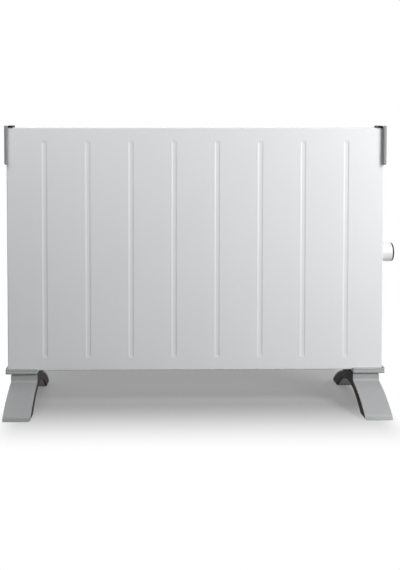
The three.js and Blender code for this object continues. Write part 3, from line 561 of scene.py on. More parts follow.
def glass_sleeve(name, color):
    """Braided glass sleeving on a wire."""
    finish = Finish(name, Roughness=0.6)
    braid = finish.cells(1600.0)
    finish.vary("Base Color", finish.blend(braid, shade(color, 0.55), shade(color)))
    return finish.relief(braid, 0.0001, 0.7).material


PAINT = (0.80, 0.81, 0.825)
FEET = (0.372, 0.376, 0.38)
CAPS = (0.26, 0.26, 0.26)
# DARK is the dark plastic's own colour; on the feet's inner covers it also stands in for shade.
DARK = (0.019, 0.0145, 0.0135)
ZINC = (0.62, 0.64, 0.67)
finishes = {
    "white_steel": powder_paint("white powder paint", PAINT),
    "grey_plastic": moulded("grey foot plastic", FEET, 0.42, 0.00004),
    "cap_plastic": moulded("grey cap plastic", CAPS, 0.38, 0.00003),
    "dark_plastic": moulded("dark brown plastic", DARK, 0.5, 0.00004, sheen=-0.33),
    "white_plastic": moulded("white knob plastic", (0.82, 0.82, 0.81), 0.24, 0.000008),
    "zinc_steel": zinc_plate("zinc plated steel", ZINC),
    "aluminium": drawn_aluminium("extruded aluminium"),
    "ceramic": fired_ceramic("fired steatite"),
    "sleeve_red": glass_sleeve("red sleeving", (0.33, 0.03, 0.02)),
    "sleeve_blue": glass_sleeve("blue sleeving", (0.03, 0.08, 0.27)),
    "sleeve_green": glass_sleeve("green and yellow sleeving", (0.11, 0.25, 0.03)),
}
ink_dark = moulded("dark dial ink", (0.05, 0.05, 0.052), 0.55, 0.00001)
ink_white = moulded("white mark ink", (0.8, 0.8, 0.79), 0.5, 0.00001)


# Repeated shapes, made by Geometry Nodes

class Pattern:
    """A Geometry Nodes tree with named inputs that ends in one realised, finished mesh."""

    def __init__(self, name, inputs):
        self.tree = bpy.data.node_groups.new(name, "GeometryNodeTree")
        self.sockets = {}
        for key, kind in inputs.items():
            item = self.tree.interface.new_socket(key, in_out="INPUT", socket_type=kind)
            self.sockets[key] = item.identifier
        self.tree.interface.new_socket("Geometry", in_out="OUTPUT",
                                       socket_type="NodeSocketGeometry")
        self.source = self.tree.nodes.new("NodeGroupInput")

    def node(self, kind, settings=None, values=None):
        made = self.tree.nodes.new(kind)
        for key, value in (settings or {}).items():
            setattr(made, key, value)
        for key, value in (values or {}).items():
            if hasattr(value, "is_output"):
                self.tree.links.new(value, made.inputs[key])
            else:
                made.inputs[key].default_value = value
        return made

    def given(self, key):
        return self.source.outputs[key]

    def close(self, geometry):
        whole = self.node("GeometryNodeRealizeInstances", None, {"Geometry": geometry})
        dressed = self.node("GeometryNodeSetMaterial", None, {
            "Geometry": whole.outputs["Geometry"], "Material": self.given("Finish")})
        end = self.tree.nodes.new("NodeGroupOutput")
        self.tree.links.new(dressed.outputs["Geometry"], end.inputs["Geometry"])

    def made(self, name, **values):
        bm = bmesh.new()
        bm.verts.new((0, 0, 0))
        piece = new_object(name, bm)
        step = piece.modifiers.new(self.tree.name, "NODES")
        step.node_group = self.tree
        for key, value in values.items():
            step[self.sockets[key.replace("_", " ")]] = value
        return baked(piece)


def grid_pattern():
    """Copies of one shape on a flat grid of columns and rows."""
    pattern = Pattern("grid of copies", {
        "Shape": "NodeSocketObject", "Columns": "NodeSocketInt", "Rows": "NodeSocketInt",
        "Pitch": "NodeSocketFloat", "Row pitch": "NodeSocketFloat",
        "Turn": "NodeSocketRotation", "Centre": "NodeSocketVector", "Finish": "NodeSocketMaterial"})

    def run(count, pitch):
        less = pattern.node("ShaderNodeMath", {"operation": "SUBTRACT"}, {
            0: pattern.given(count), 1: 1.0})
        return pattern.node("ShaderNodeMath", {"operation": "MULTIPLY"}, {
            0: less.outputs[0], 1: pattern.given(pitch)}).outputs[0]

    grid = pattern.node("GeometryNodeMeshGrid", None, {
        "Size X": run("Columns", "Pitch"), "Size Y": run("Rows", "Row pitch"),
        "Vertices X": pattern.given("Columns"), "Vertices Y": pattern.given("Rows")})
    placed = pattern.node("GeometryNodeTransform", None, {
        "Geometry": grid.outputs["Mesh"], "Rotation": pattern.given("Turn"),
        "Translation": pattern.given("Centre")})
    shape = pattern.node("GeometryNodeObjectInfo", None, {"Object": pattern.given("Shape")})
    copies = pattern.node("GeometryNodeInstanceOnPoints", None, {
        "Points": placed.outputs["Geometry"], "Instance": shape.outputs["Geometry"]})
    pattern.close(copies.outputs["Instances"])
    return pattern


def ring_pattern():
    """Copies of one shape on an arc about X, each turned with its place on the arc."""
    pattern = Pattern("arc of copies", {
        "Shape": "NodeSocketObject", "Count": "NodeSocketInt", "Start": "NodeSocketFloat",
        "Sweep": "NodeSocketFloat", "Centre": "NodeSocketVector", "Finish": "NodeSocketMaterial"})
    points = pattern.node("GeometryNodePoints", None, {"Count": pattern.given("Count")})
    index = pattern.node("GeometryNodeInputIndex")
    less = pattern.node("ShaderNodeMath", {"operation": "SUBTRACT"}, {
        0: pattern.given("Count"), 1: 1.0})
    share = pattern.node("ShaderNodeMath", {"operation": "DIVIDE"}, {
        0: index.outputs[0], 1: less.outputs[0]})
    angle = pattern.node("ShaderNodeMath", {"operation": "MULTIPLY_ADD"}, {
        0: share.outputs[0], 1: pattern.given("Sweep"), 2: pattern.given("Start")})
    turn = pattern.node("ShaderNodeCombineXYZ", None, {"X": angle.outputs[0]})
    shape = pattern.node("GeometryNodeObjectInfo", None, {"Object": pattern.given("Shape")})
    copies = pattern.node("GeometryNodeInstanceOnPoints", None, {
        "Points": points.outputs["Points"], "Instance": shape.outputs["Geometry"],
        "Rotation": turn.outputs["Vector"]})
    placed = pattern.node("GeometryNodeTransform", None, {
        "Geometry": copies.outputs["Instances"], "Translation": pattern.given("Centre")})
    pattern.close(placed.outputs["Geometry"])
    return pattern


GRID = grid_pattern()
RING = ring_pattern()


def grid_of(name, shape, columns, rows, pitch, row_pitch, centre, turn=(0, 0, 0)):
    made = GRID.made(name, Shape=shape, Columns=columns, Rows=rows, Pitch=pitch,
                     Row_pitch=row_pitch, Centre=centre, Turn=turn,
                     Finish=finishes["white_steel"])
    bpy.data.objects.remove(shape)
    return made


# The casing's folded sheets

def rounded_block(name, margin):
    """The casing's outer block with its folds rounded, moved inwards by a margin."""
    return rounded_box(name, (-HALF_WIDTH + margin, HALF_WIDTH - margin),
                       (-HALF_DEPTH + margin, HALF_DEPTH - margin),
                       (BOTTOM + margin, TOP - margin), FOLD - margin, 6)


def groove_places():
    pitch = 2 * (HALF_WIDTH - GROOVE_EDGE) / (GROOVES - 1)
    return [-HALF_WIDTH + GROOVE_EDGE + i * pitch for i in range(GROOVES)]


def slope(distance, run):
    """How far a pressed wall has come at a distance from its outer edge, from 0 to 1."""
    return eased(min(max(distance / run, 0.0), 1.0))


def groove_depth(x, z):
    """How deep the front face is pressed in at a place."""
    across = min(abs(x - place) for place in groove_places())
    low, high = BOTTOM + GROOVE_BOTTOM, TOP - GROOVE_TOP
    end = slope(z - low, GROOVE_RUN_OUT) * slope(high - z, GROOVE_RUN_OUT)
    return GROOVE_DEPTH * slope(GROOVE_WIDTH / 2 - across, GROOVE_WALL) * end


def sliced(bm, axis, places):
    """Cuts a mesh across an axis at each place, without parting it."""
    normal = Vector([1.0 if k == axis else 0.0 for k in range(3)])
    for place in places:
        geometry = bm.verts[:] + bm.edges[:] + bm.faces[:]
        bmesh.ops.bisect_plane(bm, geom=geometry, plane_co=normal * place, plane_no=normal,
                               dist=1e-4)


def sheet_band(name, side):
    """A folded sheet: face, side returns and lips, as one thin closed shell."""
    shell = cut(rounded_block(name, 0), rounded_block("inner block", SHEET))
    beyond = 5
    far = side * (HALF_DEPTH + beyond)
    returns = sorted((side * (HALF_DEPTH - SIDE_RETURN), far))
    lips = sorted((side * (HALF_DEPTH - LIP_DEPTH), far))
    wide = (-HALF_WIDTH - beyond, HALF_WIDTH + beyond)
    narrow = (-HALF_WIDTH + LIP_SETBACK, HALF_WIDTH - LIP_SETBACK)
    tall = (BOTTOM - beyond, TOP + beyond)
    kept = united(block("kept band", wide, returns, tall), block("kept lips", narrow, lips, tall))
    return combine(shell, kept, "INTERSECT")


def pressed_grooves(piece):
    """Presses the grooves into both faces of the front sheet."""
    bm = mesh_of(piece)
    steps = [i / 6 for i in range(7)]
    marks = []
    for place in groove_places():
        for side in (-1, 1):
            edge = place + side * GROOVE_WIDTH / 2
            marks += [edge - side * GROOVE_WALL * s for s in steps]
    low, high = BOTTOM + GROOVE_BOTTOM, TOP - GROOVE_TOP
    ends = [low + GROOVE_RUN_OUT * s for s in steps] + [high - GROOVE_RUN_OUT * s for s in steps]
    sliced(bm, 0, marks)
    sliced(bm, 2, ends)
    for vert in bm.verts:
        if vert.co.y < -HALF_DEPTH + SHEET + 0.01:
            vert.co.y += groove_depth(vert.co.x, vert.co.z)
    return put_back(piece, bm)


def foot_screw_ways():
    """The holes for the feet's screws through whatever lies on the casing's underside."""
    return [rod("screw way", "z", (i * FOOT_SCREW_X, j * FOOT_SCREW_Y), (BOTTOM - 2, BOTTOM + 4),
                FOOT_SCREW_HOLE, 24)
            for i in (-1, 1) for j in (-1, 1)]


def front_sheet():
    piece = pressed_grooves(sheet_band("front_sheet", -1))
    cut(piece, *foot_screw_ways())
    finished(piece, "white_steel", "front_panel", angle=50)


def stadium(length, height, steps=8):
    """An outline with round ends, longer than it is high, about the origin."""
    radius = height / 2
    half = length / 2 - radius
    turn = [math.pi * i / steps for i in range(steps + 1)]
    right = [(half + radius * math.sin(t), -radius * math.cos(t)) for t in turn]
    return right + [(-a, -b) for a, b in right]


def rear_sheet():
    piece = sheet_band("rear_sheet", 1)
    depth = (HALF_DEPTH - 3, HALF_DEPTH + 2)
    slot = prism("vent", stadium(VENT_LENGTH, VENT_HEIGHT), "y", depth)
    columns = int((2 * HALF_WIDTH - 2 * VENT_EDGE) // VENT_PITCH) + 1
    centre = (0, 0, BOTTOM + VENT_BASE + VENT_HEIGHT / 2 + VENT_ROW_PITCH / 2)
    vents = grid_of("vents", slot, columns, 2, VENT_PITCH, VENT_ROW_PITCH, centre, UPRIGHT)
    holes = [rod("hole", "y", (side * REAR_SCREW_X, z), depth, REAR_SCREW_HOLE, 24)
             for side in (-1, 1) for z in (REAR_SCREW_LOW, REAR_SCREW_HIGH)]
    holes += [rod("hole", "y", (side * SPACER_X, SPACER_HEIGHT), depth, SPACER_HOLE, 32)
              for side in (-1, 1)]
    holes += [rod("hole", "y", GLAND, depth, GLAND_HOLE, 48)]
    cut(piece, vents, *holes, *foot_screw_ways())
    finished(piece, "white_steel", "rear_panel", angle=50)


def grille(name, node, up):
    """A hat section with a row of slots with rounded ends between the two sheets."""
    face = TOP if up > 0 else BOTTOM
    raised = HALF_DEPTH - LIP_DEPTH - GAP
    wing = HALF_DEPTH - FOLD
    lap = SHEET + GAP
    half = [(raised, 0), (raised, lap), (wing, lap), (wing, GRILLE_RISE),
            (raised - SHEET, GRILLE_RISE), (raised - SHEET, SHEET)]
    outline = [(y, face - up * d) for y, d in half]
    outline += [(-y, face - up * d) for y, d in reversed(half)]
    flank = HALF_WIDTH - lap
    piece = prism(name, outline, "x", (-flank, flank))
    opening = [(b, a) for a, b in stadium(2 * (raised - SLOT_MARGIN), SLOT_WIDTH)]
    slot = prism("slot", opening, "z", (face - 3, face + 3))
    count = int((2 * HALF_WIDTH - 2 * SLOT_END) // SLOT_PITCH)
    cut(piece, grid_of("slots", slot, count, 1, SLOT_PITCH, 1.0, (0, 0, 0)))
    if up < 0:
        cut(piece, *foot_screw_ways())
    else:
        middle = CLIP_END - CLIP_LENGTH / 2
        reach = CLIP_LENGTH / 2 - PEG_MARGIN + GAP
        cut(piece, *[block("peg hole", (i * middle - reach, i * middle + reach),
                           (PEG_FRONT - GAP, PEG_REAR + GAP), (face - 3, face + 2))
                     for i in (-1, 1)])
    softened(piece, 0.3)
    finished(piece, "white_steel", node)


def dressed(name, node, slot, body="casing", width=0.25, segments=2):
    """A CAD node's shape with its edges rounded, standing for the node."""
    bm = bmesh.new()
    bm.from_mesh(frame["nodes"][node].data)
    bmesh.ops.remove_doubles(bm, verts=bm.verts, dist=0.000002)
    bmesh.ops.dissolve_limit(bm, angle_limit=0.01, verts=bm.verts, edges=bm.edges)
    piece = new_object(name, bm)
    softened(piece, width * MM, segments)
    handed_over(piece, finishes[slot], body, (node,))


# Corner caps, clips and feet

def casing_pocket(low, high):
    """The room that a cap or a foot leaves for the casing's right-hand end."""
    return block("pocket", (0, HALF_WIDTH + GAP), (-HALF_DEPTH - GAP, HALF_DEPTH + GAP),
                 (low, high))


def corner_caps():
    piece = rounded_box("cap", (HALF_WIDTH - CAP_OVERLAP, HALF_WIDTH + GAP + CAP_WALL),
                        (-HALF_DEPTH - CAP_PROUD, HALF_DEPTH + CAP_PROUD),
                        (TOP + CAP_RISE - CAP_HEIGHT, TOP + CAP_RISE), CAP_ROUNDING)
    cut(piece, casing_pocket(0, TOP + GAP))
    softened(piece, 0.35)
    finished_pair(piece, "cap", "cap_plastic", "corner_cap")


def cap_clips():
    """A bar that slopes down to its front, with a peg into the outlet grille."""
    front = -HALF_DEPTH - CLIP_PROUD
    rear = front + CLIP_DEPTH
    side = [(front, TOP + GAP), (rear, TOP + GAP), (rear, TOP + CLIP_RISE),
            (front + 1, TOP + CLIP_RISE - 1.5), (front, TOP + CLIP_RISE - 2.5)]
    bar = softened(prism("clip", side, "x", (CLIP_END - CLIP_LENGTH, CLIP_END)), 0.5, 3)
    peg_sides = (CLIP_END - CLIP_LENGTH + PEG_MARGIN, CLIP_END - PEG_MARGIN)
    united(bar, block("peg", peg_sides, (PEG_FRONT, PEG_REAR), (TOP - PEG_DROP, TOP + 1.65)))
    finished_pair(bar, "clip", "dark_plastic", "cap_clip")


def leg_outline(top):
    """The outer edge of one leg as (y, z), from its sole up to a height on the neck."""
    toe = (FOOT_REACH - TOE_SETBACK, TOE_HEIGHT)
    knee = (NECK + 5, KNEE - 1)
    leg = [(FOOT_REACH, 0)]
    leg += curve(toe, (FOOT_REACH - 28, KNEE - 13), knee, 14)
    leg += curve(knee, (NECK, KNEE), (NECK, KNEE + 4), 6)[1:]
    return leg + [(NECK, top)]


def both_sides(points):
    return points + [(-y, z) for y, z in reversed(points)]


def foot_outline(top):
    """The whole foot seen along X as (y, z): two legs, a neck and the arch under them."""
    arch = curve((-ARCH_REACH, 0), (0, 2 * ARCH_HEIGHT), (ARCH_REACH, 0), 24)[1:-1]
    return both_sides([(ARCH_REACH, 0)] + leg_outline(top)) + arch


def core_outline(top, skin):
    """The foot's outline less a skin on its outer edges, carried on below the floor."""
    return inset(both_sides([(FOOT_REACH, -1 - skin)] + leg_outline(top + skin)), skin)


def inset(points, distance):
    """A closed outline moved inwards, corner by corner."""
    count = len(points)
    area = sum(points[i][0] * points[(i + 1) % count][1] - points[(i + 1) % count][0] * points[i][1]
               for i in range(count))
    turn = math.copysign(1, area)
    made = []
    for i, (a, b) in enumerate(points):
        normals = []
        for p, q in ((points[i - 1], (a, b)), ((a, b), points[(i + 1) % count])):
            length = math.hypot(q[0] - p[0], q[1] - p[1])
            normals.append((-turn * (q[1] - p[1]) / length, turn * (q[0] - p[0]) / length))
        u, v = normals
        scale = distance / (1 + u[0] * v[0] + u[1] * v[1])
        made.append((a + scale * (u[0] + v[0]), b + scale * (u[1] + v[1])))
    return made


def edge_rounded(piece, wanted, radius, segments=3):
    """Rounds the sharp edges whose two ends both answer a test."""
    bm = mesh_of(piece)
    edges = [edge for edge in bm.edges
             if all(wanted(vert.co) for vert in edge.verts) and edge.calc_face_angle(0) > 0.6]
    bmesh.ops.bevel(bm, geom=edges, offset=radius, segments=segments, profile=0.5, affect="EDGES",
                    clamp_overlap=False)
    return put_back(piece, bm)


def rim_shape():
    """The ledge round the casing's lower corner: a flat band above a rounded bead."""
    front = HALF_DEPTH + RIM_PROUD
    start, end = FOOT_INNER - RIM_SETBACK, HALF_WIDTH + RIM_OVERHANG
    bead = rounded_box("rim", (start, end), (-front, front),
                       (RIM_BASE, RIM_BASE + RIM_BEAD), 1.7, 6)
    band = rounded_box("band", (start, end - RIM_STEP), (RIM_STEP - front, front - RIM_STEP),
                       (RIM_BASE + 1, BOTTOM + RIM_LAP), 1.1)
    return united(bead, band)


def foot_shape():
    """A hollow foot, open below and on its inner side, with its ledge and screw holes."""
    body = prism("foot_shape", foot_outline(NECK_TOP), "x", (FOOT_INNER, FOOT_OUTER))
    edge_rounded(body, lambda co: co.x > FOOT_OUTER - 0.01, 1.1)
    waist = block("waist", (FOOT_INNER + WAIST_INSET, FOOT_OUTER - WAIST_INSET),
                  (WAIST_INSET - NECK, NECK - WAIST_INSET), (NECK_TOP - 1, RIM_BASE + 1.5))
    lap = rounded_box("end lap", (HALF_WIDTH + GAP, HALF_WIDTH + RIM_OVERHANG),
                      (-HALF_DEPTH - RIM_END_PROUD, HALF_DEPTH + RIM_END_PROUD),
                      (RIM_BASE + 2, BOTTOM + RIM_END_LAP), 1.2, 4)
    united(body, waist, rim_shape(), lap)
    hollow = prism("hollow", inset(foot_outline(NECK_TOP + FOOT_WALL), FOOT_WALL), "x",
                   (0, FOOT_OUTER - FOOT_WALL))
    room = prism("cover room", core_outline(NECK_TOP, FOOT_WALL - GAP), "x",
                 (0, FOOT_INNER + COVER + GAP))
    steps = (((NECK_TOP - 2, BOTTOM), FOOT_SCREW_HOLE), ((-1, KNEE), FOOT_SCREW_ACCESS))
    ways = [rod("way", "z", (FOOT_SCREW_X, j * FOOT_SCREW_Y), span, radius, 40)
            for j in (-1, 1) for span, radius in steps]
    return cut(body, casing_pocket(BOTTOM - GAP, TOP), hollow, room, *ways)


def toe_corner():
    """What is taken off a foot's lower inner corner."""
    wide, high = TOE_CORNER_WIDTH, TOE_CORNER_HEIGHT
    turn = [math.pi / 2 * i / 6 for i in range(7)]
    arc = [(FOOT_INNER + wide * (1 - math.sin(t)), high * (1 - math.cos(t))) for t in turn]
    outline = [(FOOT_INNER - 1, -1), (FOOT_INNER + wide, -1)] + arc + [(FOOT_INNER - 1, high)]
    return prism("corner", outline, "y", (-FOOT_REACH - 1, FOOT_REACH + 1))


def feet():
    shell = cut(foot_shape(), toe_corner())
    finished_pair(shell, "foot_shell", "grey_plastic", "foot", rounding=(0.3, 2, 50))
    # This piece's dark plastic also paints shade: it stands in for the shade inside the hollow
    # foot's open inner side.
    cover = prism("cover", foot_outline(NECK_TOP), "x", (FOOT_INNER, FOOT_INNER + COVER))
    core = prism("core", core_outline(NECK_TOP - GAP, FOOT_WALL), "x",
                 (FOOT_INNER - 1, FOOT_INNER + COVER + 1))
    combine(cover, core, "INTERSECT")
    cut(cover, block("lift", (0, HALF_WIDTH), (-FOOT_REACH, FOOT_REACH), (-1, COVER_LIFT)))
    edge_rounded(cover, lambda co: co.x < FOOT_INNER + 0.01, 0.8)
    cut(cover, toe_corner())
    finished_pair(cover, "cover", "dark_plastic", "foot_cover")


# Screws, each with a cross recess

def screw_shape(radius, length, head):
    """A pointed screw along Z with the underside of its domed head at 0."""
    profile = rounded_profile([
        (0, -length, 0), (radius * 0.5, -length, 0), (radius, -length + radius, 0),
        (radius, -0.2, 0), (radius, 0, 0), (head, 0, 0.2), (head, 1.08, 0.5),
        (head * 0.62, SCREW_HEAD_HEIGHT, 0.9), (0, SCREW_HEAD_HEIGHT, 0)])
    piece = turned("screw", profile, 40)
    for turn in (0, math.pi / 2):
        bar = block("recess", (-head * 0.5, head * 0.5), (-0.45, 0.45), (1.1, 3))
        turn_to(bar, Matrix.Rotation(turn + 0.4, 4, "Z"), (0, 0, 0))
        cut(piece, bar)
    return piece


def screws():
    shape = turn_to(screw_shape(2.0, 14.0, 4.0), DOWNWARDS, (0, 0, 0))
    under = grid_of("foot_screws", shape, 2, 2, 2 * FOOT_SCREW_X, 2 * FOOT_SCREW_Y,
                    (0, 0, NECK_TOP - GAP))
    nodes = [f"foot_screw_{a}_{b}" for a in ("left", "right") for b in ("front", "rear")]
    finished(under, "zinc_steel", *nodes)
    shape = turn_to(screw_shape(1.6, 7.0, 3.4), TO_REAR, (0, 0, 0))
    centre = (0, HALF_DEPTH + GAP, (REAR_SCREW_LOW + REAR_SCREW_HIGH) / 2)
    behind = grid_of("rear_screws", shape, 2, 2, 2 * REAR_SCREW_X,
                     REAR_SCREW_HIGH - REAR_SCREW_LOW, centre, UPRIGHT)
    nodes = [f"rear_screw_{a}_{b}" for a in ("left", "right") for b in ("lower", "upper")]
    finished(behind, "zinc_steel", *nodes)


# Knob, dial and switches

def on_side(piece):
    """Moves a piece that is built along Z onto the knob's axis, facing right."""
    return turn_to(piece, TO_RIGHT, (HALF_WIDTH, 0, KNOB_HEIGHT))


def knob_pieces():
    """The hollow knob with its pointer groove, and the dished dark end in its rim."""
    seat = KNOB_END - KNOB_RIM
    rim = KNOB_END_RADIUS - KNOB_RIM
    body = turned("knob_body", rounded_profile([
        (0, KNOB_BASE, 0), (KNOB_RADIUS, KNOB_BASE, 0.5), (KNOB_END_RADIUS, KNOB_END, 0.35),
        (rim, KNOB_END, 0), (rim, seat, 0), (0, seat, 0)]), 128)
    axis = (0, 0)
    skirt = rod("skirt", "z", axis, (KNOB_BASE - 1, SKIRT_TOP), KNOB_RADIUS - KNOB_WALL, 96)
    cut(skirt, rod("hub", "z", axis, (HUB_BASE, SKIRT_TOP + 1.9), HUB_RADIUS))
    bore = rod("bore", "z", axis, (0, SHAFT_BORE_TOP), SHAFT_BORE, 40)
    groove = block("pointer groove", (rim, KNOB_RADIUS + 1), (-1, 1), (KNOB_BASE + 3, KNOB_END + 1))
    cut(body, skirt, bore, groove)
    finished(on_side(body), "white_plastic", "knob", body="knob_group")

    brim = KNOB_END + GAP
    top = brim + 2.3
    ring = turned("knob_end", rounded_profile([
        (0, seat + GAP, 0), (rim - GAP, seat + GAP, 0), (rim - GAP, brim, 0),
        (KNOB_END_RADIUS - 0.1, brim, 0.15), (KNOB_END_RADIUS - 0.3, top, 1.2),
        (KNOB_END_RADIUS - 4, top, 0), (KNOB_END_RADIUS - 4.4, top - 0.4, 0),
        (0, top - 0.6, 0)]), 128)
    finished(on_side(ring), "dark_plastic", "knob_ring", body="knob_group")


def text_mesh(name, words):
    """Flat raised figures about the origin, facing +Z with their top towards +Y."""
    letters = bpy.data.curves.new(name, "FONT")
    letters.body = words
    letters.size = FIGURE_SIZE
    letters.extrude = INK_DEPTH / 2
    letters.align_x = "CENTER"
    letters.align_y = "CENTER"
    letters.resolution_u = 3
    holder = bpy.data.objects.new(name, letters)
    scene.collection.objects.link(holder)
    graph = bpy.context.evaluated_depsgraph_get()
    graph.update()
    mesh = bpy.data.meshes.new_from_object(holder.evaluated_get(graph), depsgraph=graph)
    bpy.data.objects.remove(holder)
    made = bpy.data.objects.new(name, mesh)
    scene.collection.objects.link(made)
    bm = mesh_of(made)
    bmesh.ops.remove_doubles(bm, verts=bm.verts, dist=1e-4)
    return put_back(made, bm)


def merged(name, pieces):
    """Several closed shapes kept as one mesh."""
    bm = bmesh.new()
    for piece in pieces:
        bm.from_mesh(piece.data)
        bpy.data.objects.remove(piece)
    return new_object(name, bm)


def dial():
    """The dial's disc, its figures from the knob's rest position onwards, and its ticks."""
    plate = turned("dial_disc", rounded_profile([
        (0, GAP, 0), (DIAL_RADIUS, GAP, 0), (DIAL_RADIUS, DIAL_TOP, 0.35), (0, DIAL_TOP, 0)]), 128)
    cut(plate, rod("hole", "z", (0, 0), (0, 3), DIAL_BORE))
    finished(on_side(plate), "grey_plastic", "dial_plate")
    face = HALF_WIDTH + DIAL_TOP
    figures = []
    for i in range(FIGURES):
        angle = DIAL_START + DIAL_SWEEP * i / (FIGURES - 1)
        at = (face, FIGURE_RADIUS * math.sin(angle), KNOB_HEIGHT + FIGURE_RADIUS * math.cos(angle))
        figures.append(turn_to(text_mesh("figure", str(i)), FACING_RIGHT, at))
    finished(merged("dial_figures", figures), "dark_plastic", finish=ink_dark)
    tick = block("tick", (face - 0.02, face + 0.05), (-0.17, 0.17), (TICK_INNER, TICK_OUTER))
    ticks = RING.made("dial_ticks", Shape=tick, Count=TICKS, Start=-DIAL_START - DIAL_SWEEP,
                      Sweep=DIAL_SWEEP, Centre=(0, 0, KNOB_HEIGHT), Finish=ink_dark)
    bpy.data.objects.remove(tick)
    finished(ticks, "dark_plastic", finish=ink_dark)


def key_marks(name, height):
    """A stroke on the upper half of a rocker and a ring on its lower half, at rest."""
    stroke = block("stroke", (-0.3, 0.3), (-1.3, 1.3), (-INK_DEPTH / 2, INK_DEPTH / 2))
    ring = text_mesh("ring", "0")
    marks = []
    # How far each mark stands out of the side and above the rocker's axis, and how it leans
    for mark, out, up, lean in ((stroke, 4.19, 4.66, 20.8), (ring, 2.75, -5.64, -4.8)):
        tilt = Matrix.Rotation(math.radians(lean), 4, "Y") @ FACING_RIGHT
        marks.append(turn_to(mark, tilt, (HALF_WIDTH + out + 0.02, 0, height + up)))
    finished(merged(f"key_marks_{name}", marks), "white_plastic", body=f"rocker_{name}",
             finish=ink_white)


def switches():
    for name, height in SWITCH_HEIGHTS.items():
        key_marks(name, height)
        dressed(f"switch_case_{name}", f"switch_housing_{name}", "dark_plastic", "casing", 0.35, 3)
        dressed(f"switch_key_{name}", f"switch_rocker_{name}", "dark_plastic", f"rocker_{name}",
                0.35, 3)


for part in frame["record"]["subparts"]:
    frame["nodes"][part["node"]].material_slots[0].material = finishes[part["material_slot"]]
front_sheet()
rear_sheet()
grille("outlet_slots", "outlet_grille", 1)
grille("inlet_slots", "inlet_grille", -1)
for hand in ("left", "right"):
    dressed(f"side_channel_{hand}", f"side_panel_{hand}", "white_steel")
corner_caps()
cap_clips()
feet()
screws()
knob_pieces()
dial()
switches()
for hand in ("left", "right"):
    dressed(f"hanger_{hand}", f"hanger_plate_{hand}", "zinc_steel", width=0.5, segments=3)
    dressed(f"spacer_{hand}", f"wall_spacer_{hand}", "dark_plastic", width=0.5, segments=3)
dressed("gland_body", "cord_gland", "dark_plastic", width=0.4, segments=3)


# Camera, light and floor, in metres, watts and degrees

LENS = 46.25
SENSOR = 36
SHIFT = (0.0633, -0.1708)
CAMERA_PLACE = (-0.0795, -1.2298, 0.4017)
CAMERA_TILT, CAMERA_TURN = 88.07, -0.81

MIDDLE_OF_PANEL = (0, 0, 0.25)
LOWER_PANEL = (0, 0, 0.2)
LAMPS = {
    # name: (place, aim, size, power)
    "low": ((1.0, -1.0, 0.45), MIDDLE_OF_PANEL, 0.6, 7.6),
    "near": ((0.95, -0.7, 1.0), MIDDLE_OF_PANEL, 0.5, 10.0),
    "top": ((-0.5, -0.5, 0.95), MIDDLE_OF_PANEL, 0.5, 2.7),
    "side": ((1.5, 0.2, 0.9), LOWER_PANEL, 0.8, 2),
    "left": ((-1.3, 0.3, 0.8), LOWER_PANEL, 0.8, 2),
    "back": ((-0.2, 1.3, 1.3), LOWER_PANEL, 1.4, 16),
}
WORLD_LIGHT = 0.03

# The floor is as grey as FLOOR. Under the heater the camera sees a painted shadow: SHADED of the
# lamp-lit grey floor and, for the rest, a painted white glow that keeps that shadow from going
# black. It fades to white from a distance beside, in front of and behind the heater, each over a
# reach of its own.
FLOOR = 0.28
SHADED = 0.8
FLOOR_SIZE = 14
FADE_ASIDE, FADE_ASIDE_REACH = 0.275, 0.045
FADE_BEFORE, FADE_BEFORE_REACH = 0.01, 0.215
FADE_BEHIND, FADE_BEHIND_REACH = 0.18, 0.15


def camera():
    data = bpy.data.cameras.new("camera")
    data.lens = LENS
    data.sensor_width = SENSOR
    data.sensor_fit = "AUTO"
    data.shift_x, data.shift_y = SHIFT
    data.clip_start = 0.05
    made = bpy.data.objects.new("camera", data)
    made.location = CAMERA_PLACE
    made.rotation_euler = (math.radians(CAMERA_TILT), 0, math.radians(CAMERA_TURN))
    scene.collection.objects.link(made)
    scene.camera = made


def lamp(name, place, aim, size, power):
    data = bpy.data.lights.new(name, "AREA")
    data.shape = "SQUARE"
    data.size = size
    data.energy = power
    made = bpy.data.objects.new(name, data)
    made.location = place
    made.rotation_euler = (Vector(aim) - Vector(place)).to_track_quat("-Z", "Y").to_euler()
    scene.collection.objects.link(made)


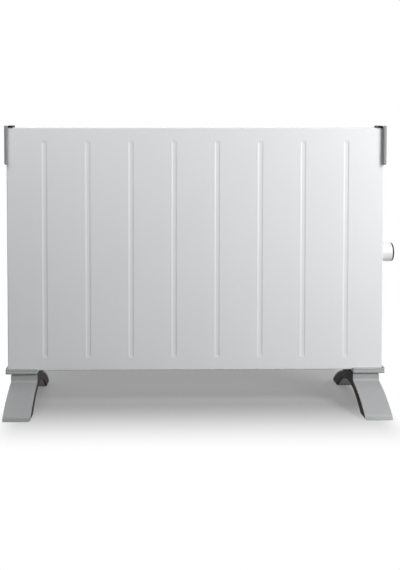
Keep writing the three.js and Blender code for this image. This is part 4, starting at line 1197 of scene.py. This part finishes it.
def surroundings():
    """A world that is white to the camera and in reflections, and lights the heater faintly."""
    world = bpy.data.worlds.new("studio")
    scene.world = world
    world.use_nodes = True
    tree = world.node_tree
    shown = tree.nodes["Background"]
    shown.inputs["Color"].default_value = shade(1.0)
    shown.inputs["Strength"].default_value = 1.0
    lit = tree.nodes.new("ShaderNodeBackground")
    lit.inputs["Color"].default_value = shade(1.0)
    lit.inputs["Strength"].default_value = WORLD_LIGHT
    rays = tree.nodes.new("ShaderNodeLightPath")
    mix = tree.nodes.new("ShaderNodeMixShader")
    seen = tree.nodes.new("ShaderNodeMath")
    seen.operation = "MAXIMUM"
    tree.links.new(rays.outputs["Is Camera Ray"], seen.inputs[0])
    both = tree.nodes.new("ShaderNodeMath")
    both.operation = "MAXIMUM"
    tree.links.new(rays.outputs["Is Glossy Ray"], both.inputs[0])
    tree.links.new(rays.outputs["Is Transmission Ray"], both.inputs[1])
    tree.links.new(both.outputs[0], seen.inputs[1])
    tree.links.new(seen.outputs[0], mix.inputs[0])
    tree.links.new(lit.outputs[0], mix.inputs[1])
    tree.links.new(shown.outputs[0], mix.inputs[2])
    tree.links.new(mix.outputs[0], tree.nodes["World Output"].inputs["Surface"])


def floor():
    """A grey floor under the heater, a painted shadow that fades to the white of the background
    all round it: a mask draws it on the lamp-lit floor, with a faint painted white glow.
    """
    bm = bmesh.new()
    bmesh.ops.create_grid(bm, x_segments=1, y_segments=1, size=FLOOR_SIZE)
    piece = new_object("floor", bm)
    finish = Finish("pale floor", Roughness=0.9, Specular_IOR_Level=0.1)
    finish.surface.inputs["Base Color"].default_value = shade(FLOOR)
    place = finish.node("ShaderNodeSeparateXYZ", None, {0: finish.place()}).socket.node
    x, y = Link(finish, place.outputs["X"]), Link(finish, place.outputs["Y"])
    aside = eased(((x.maths("ABSOLUTE", x - MIDDLE) - FADE_ASIDE) / FADE_ASIDE_REACH).clamped())
    before = eased(((y * -1.0 - FADE_BEFORE) / FADE_BEFORE_REACH).clamped())
    behind = eased(((y - FADE_BEHIND) / FADE_BEHIND_REACH).clamped())
    # The grey patch under the heater is a painted shadow: this mask draws its shape and its fade.
    grey = (1.0 - aside) * (1.0 - before) * (1.0 - behind)
    rays = finish.tree.nodes.new("ShaderNodeLightPath")
    seen = x.maths("MAXIMUM", Link(finish, rays.outputs["Is Camera Ray"]),
                   Link(finish, rays.outputs["Is Glossy Ray"]))
    glow = finish.node("ShaderNodeEmission", None, {"Color": shade(1.0), "Strength": 1.0})
    # In the painted shadow the camera sees SHADED of the lit floor and a painted white glow.
    mix = finish.node("ShaderNodeMixShader", None, {0: seen * (1.0 - grey * SHADED)})
    finish.tree.links.new(finish.surface.outputs[0], mix.socket.node.inputs[1])
    finish.tree.links.new(glow.socket, mix.socket.node.inputs[2])
    finish.tree.links.new(mix.socket, finish.output.inputs["Surface"])
    piece.data.materials.append(finish.material)


camera()
for lamp_name, settings in LAMPS.items():
    lamp(lamp_name, *settings)
surroundings()
floor()
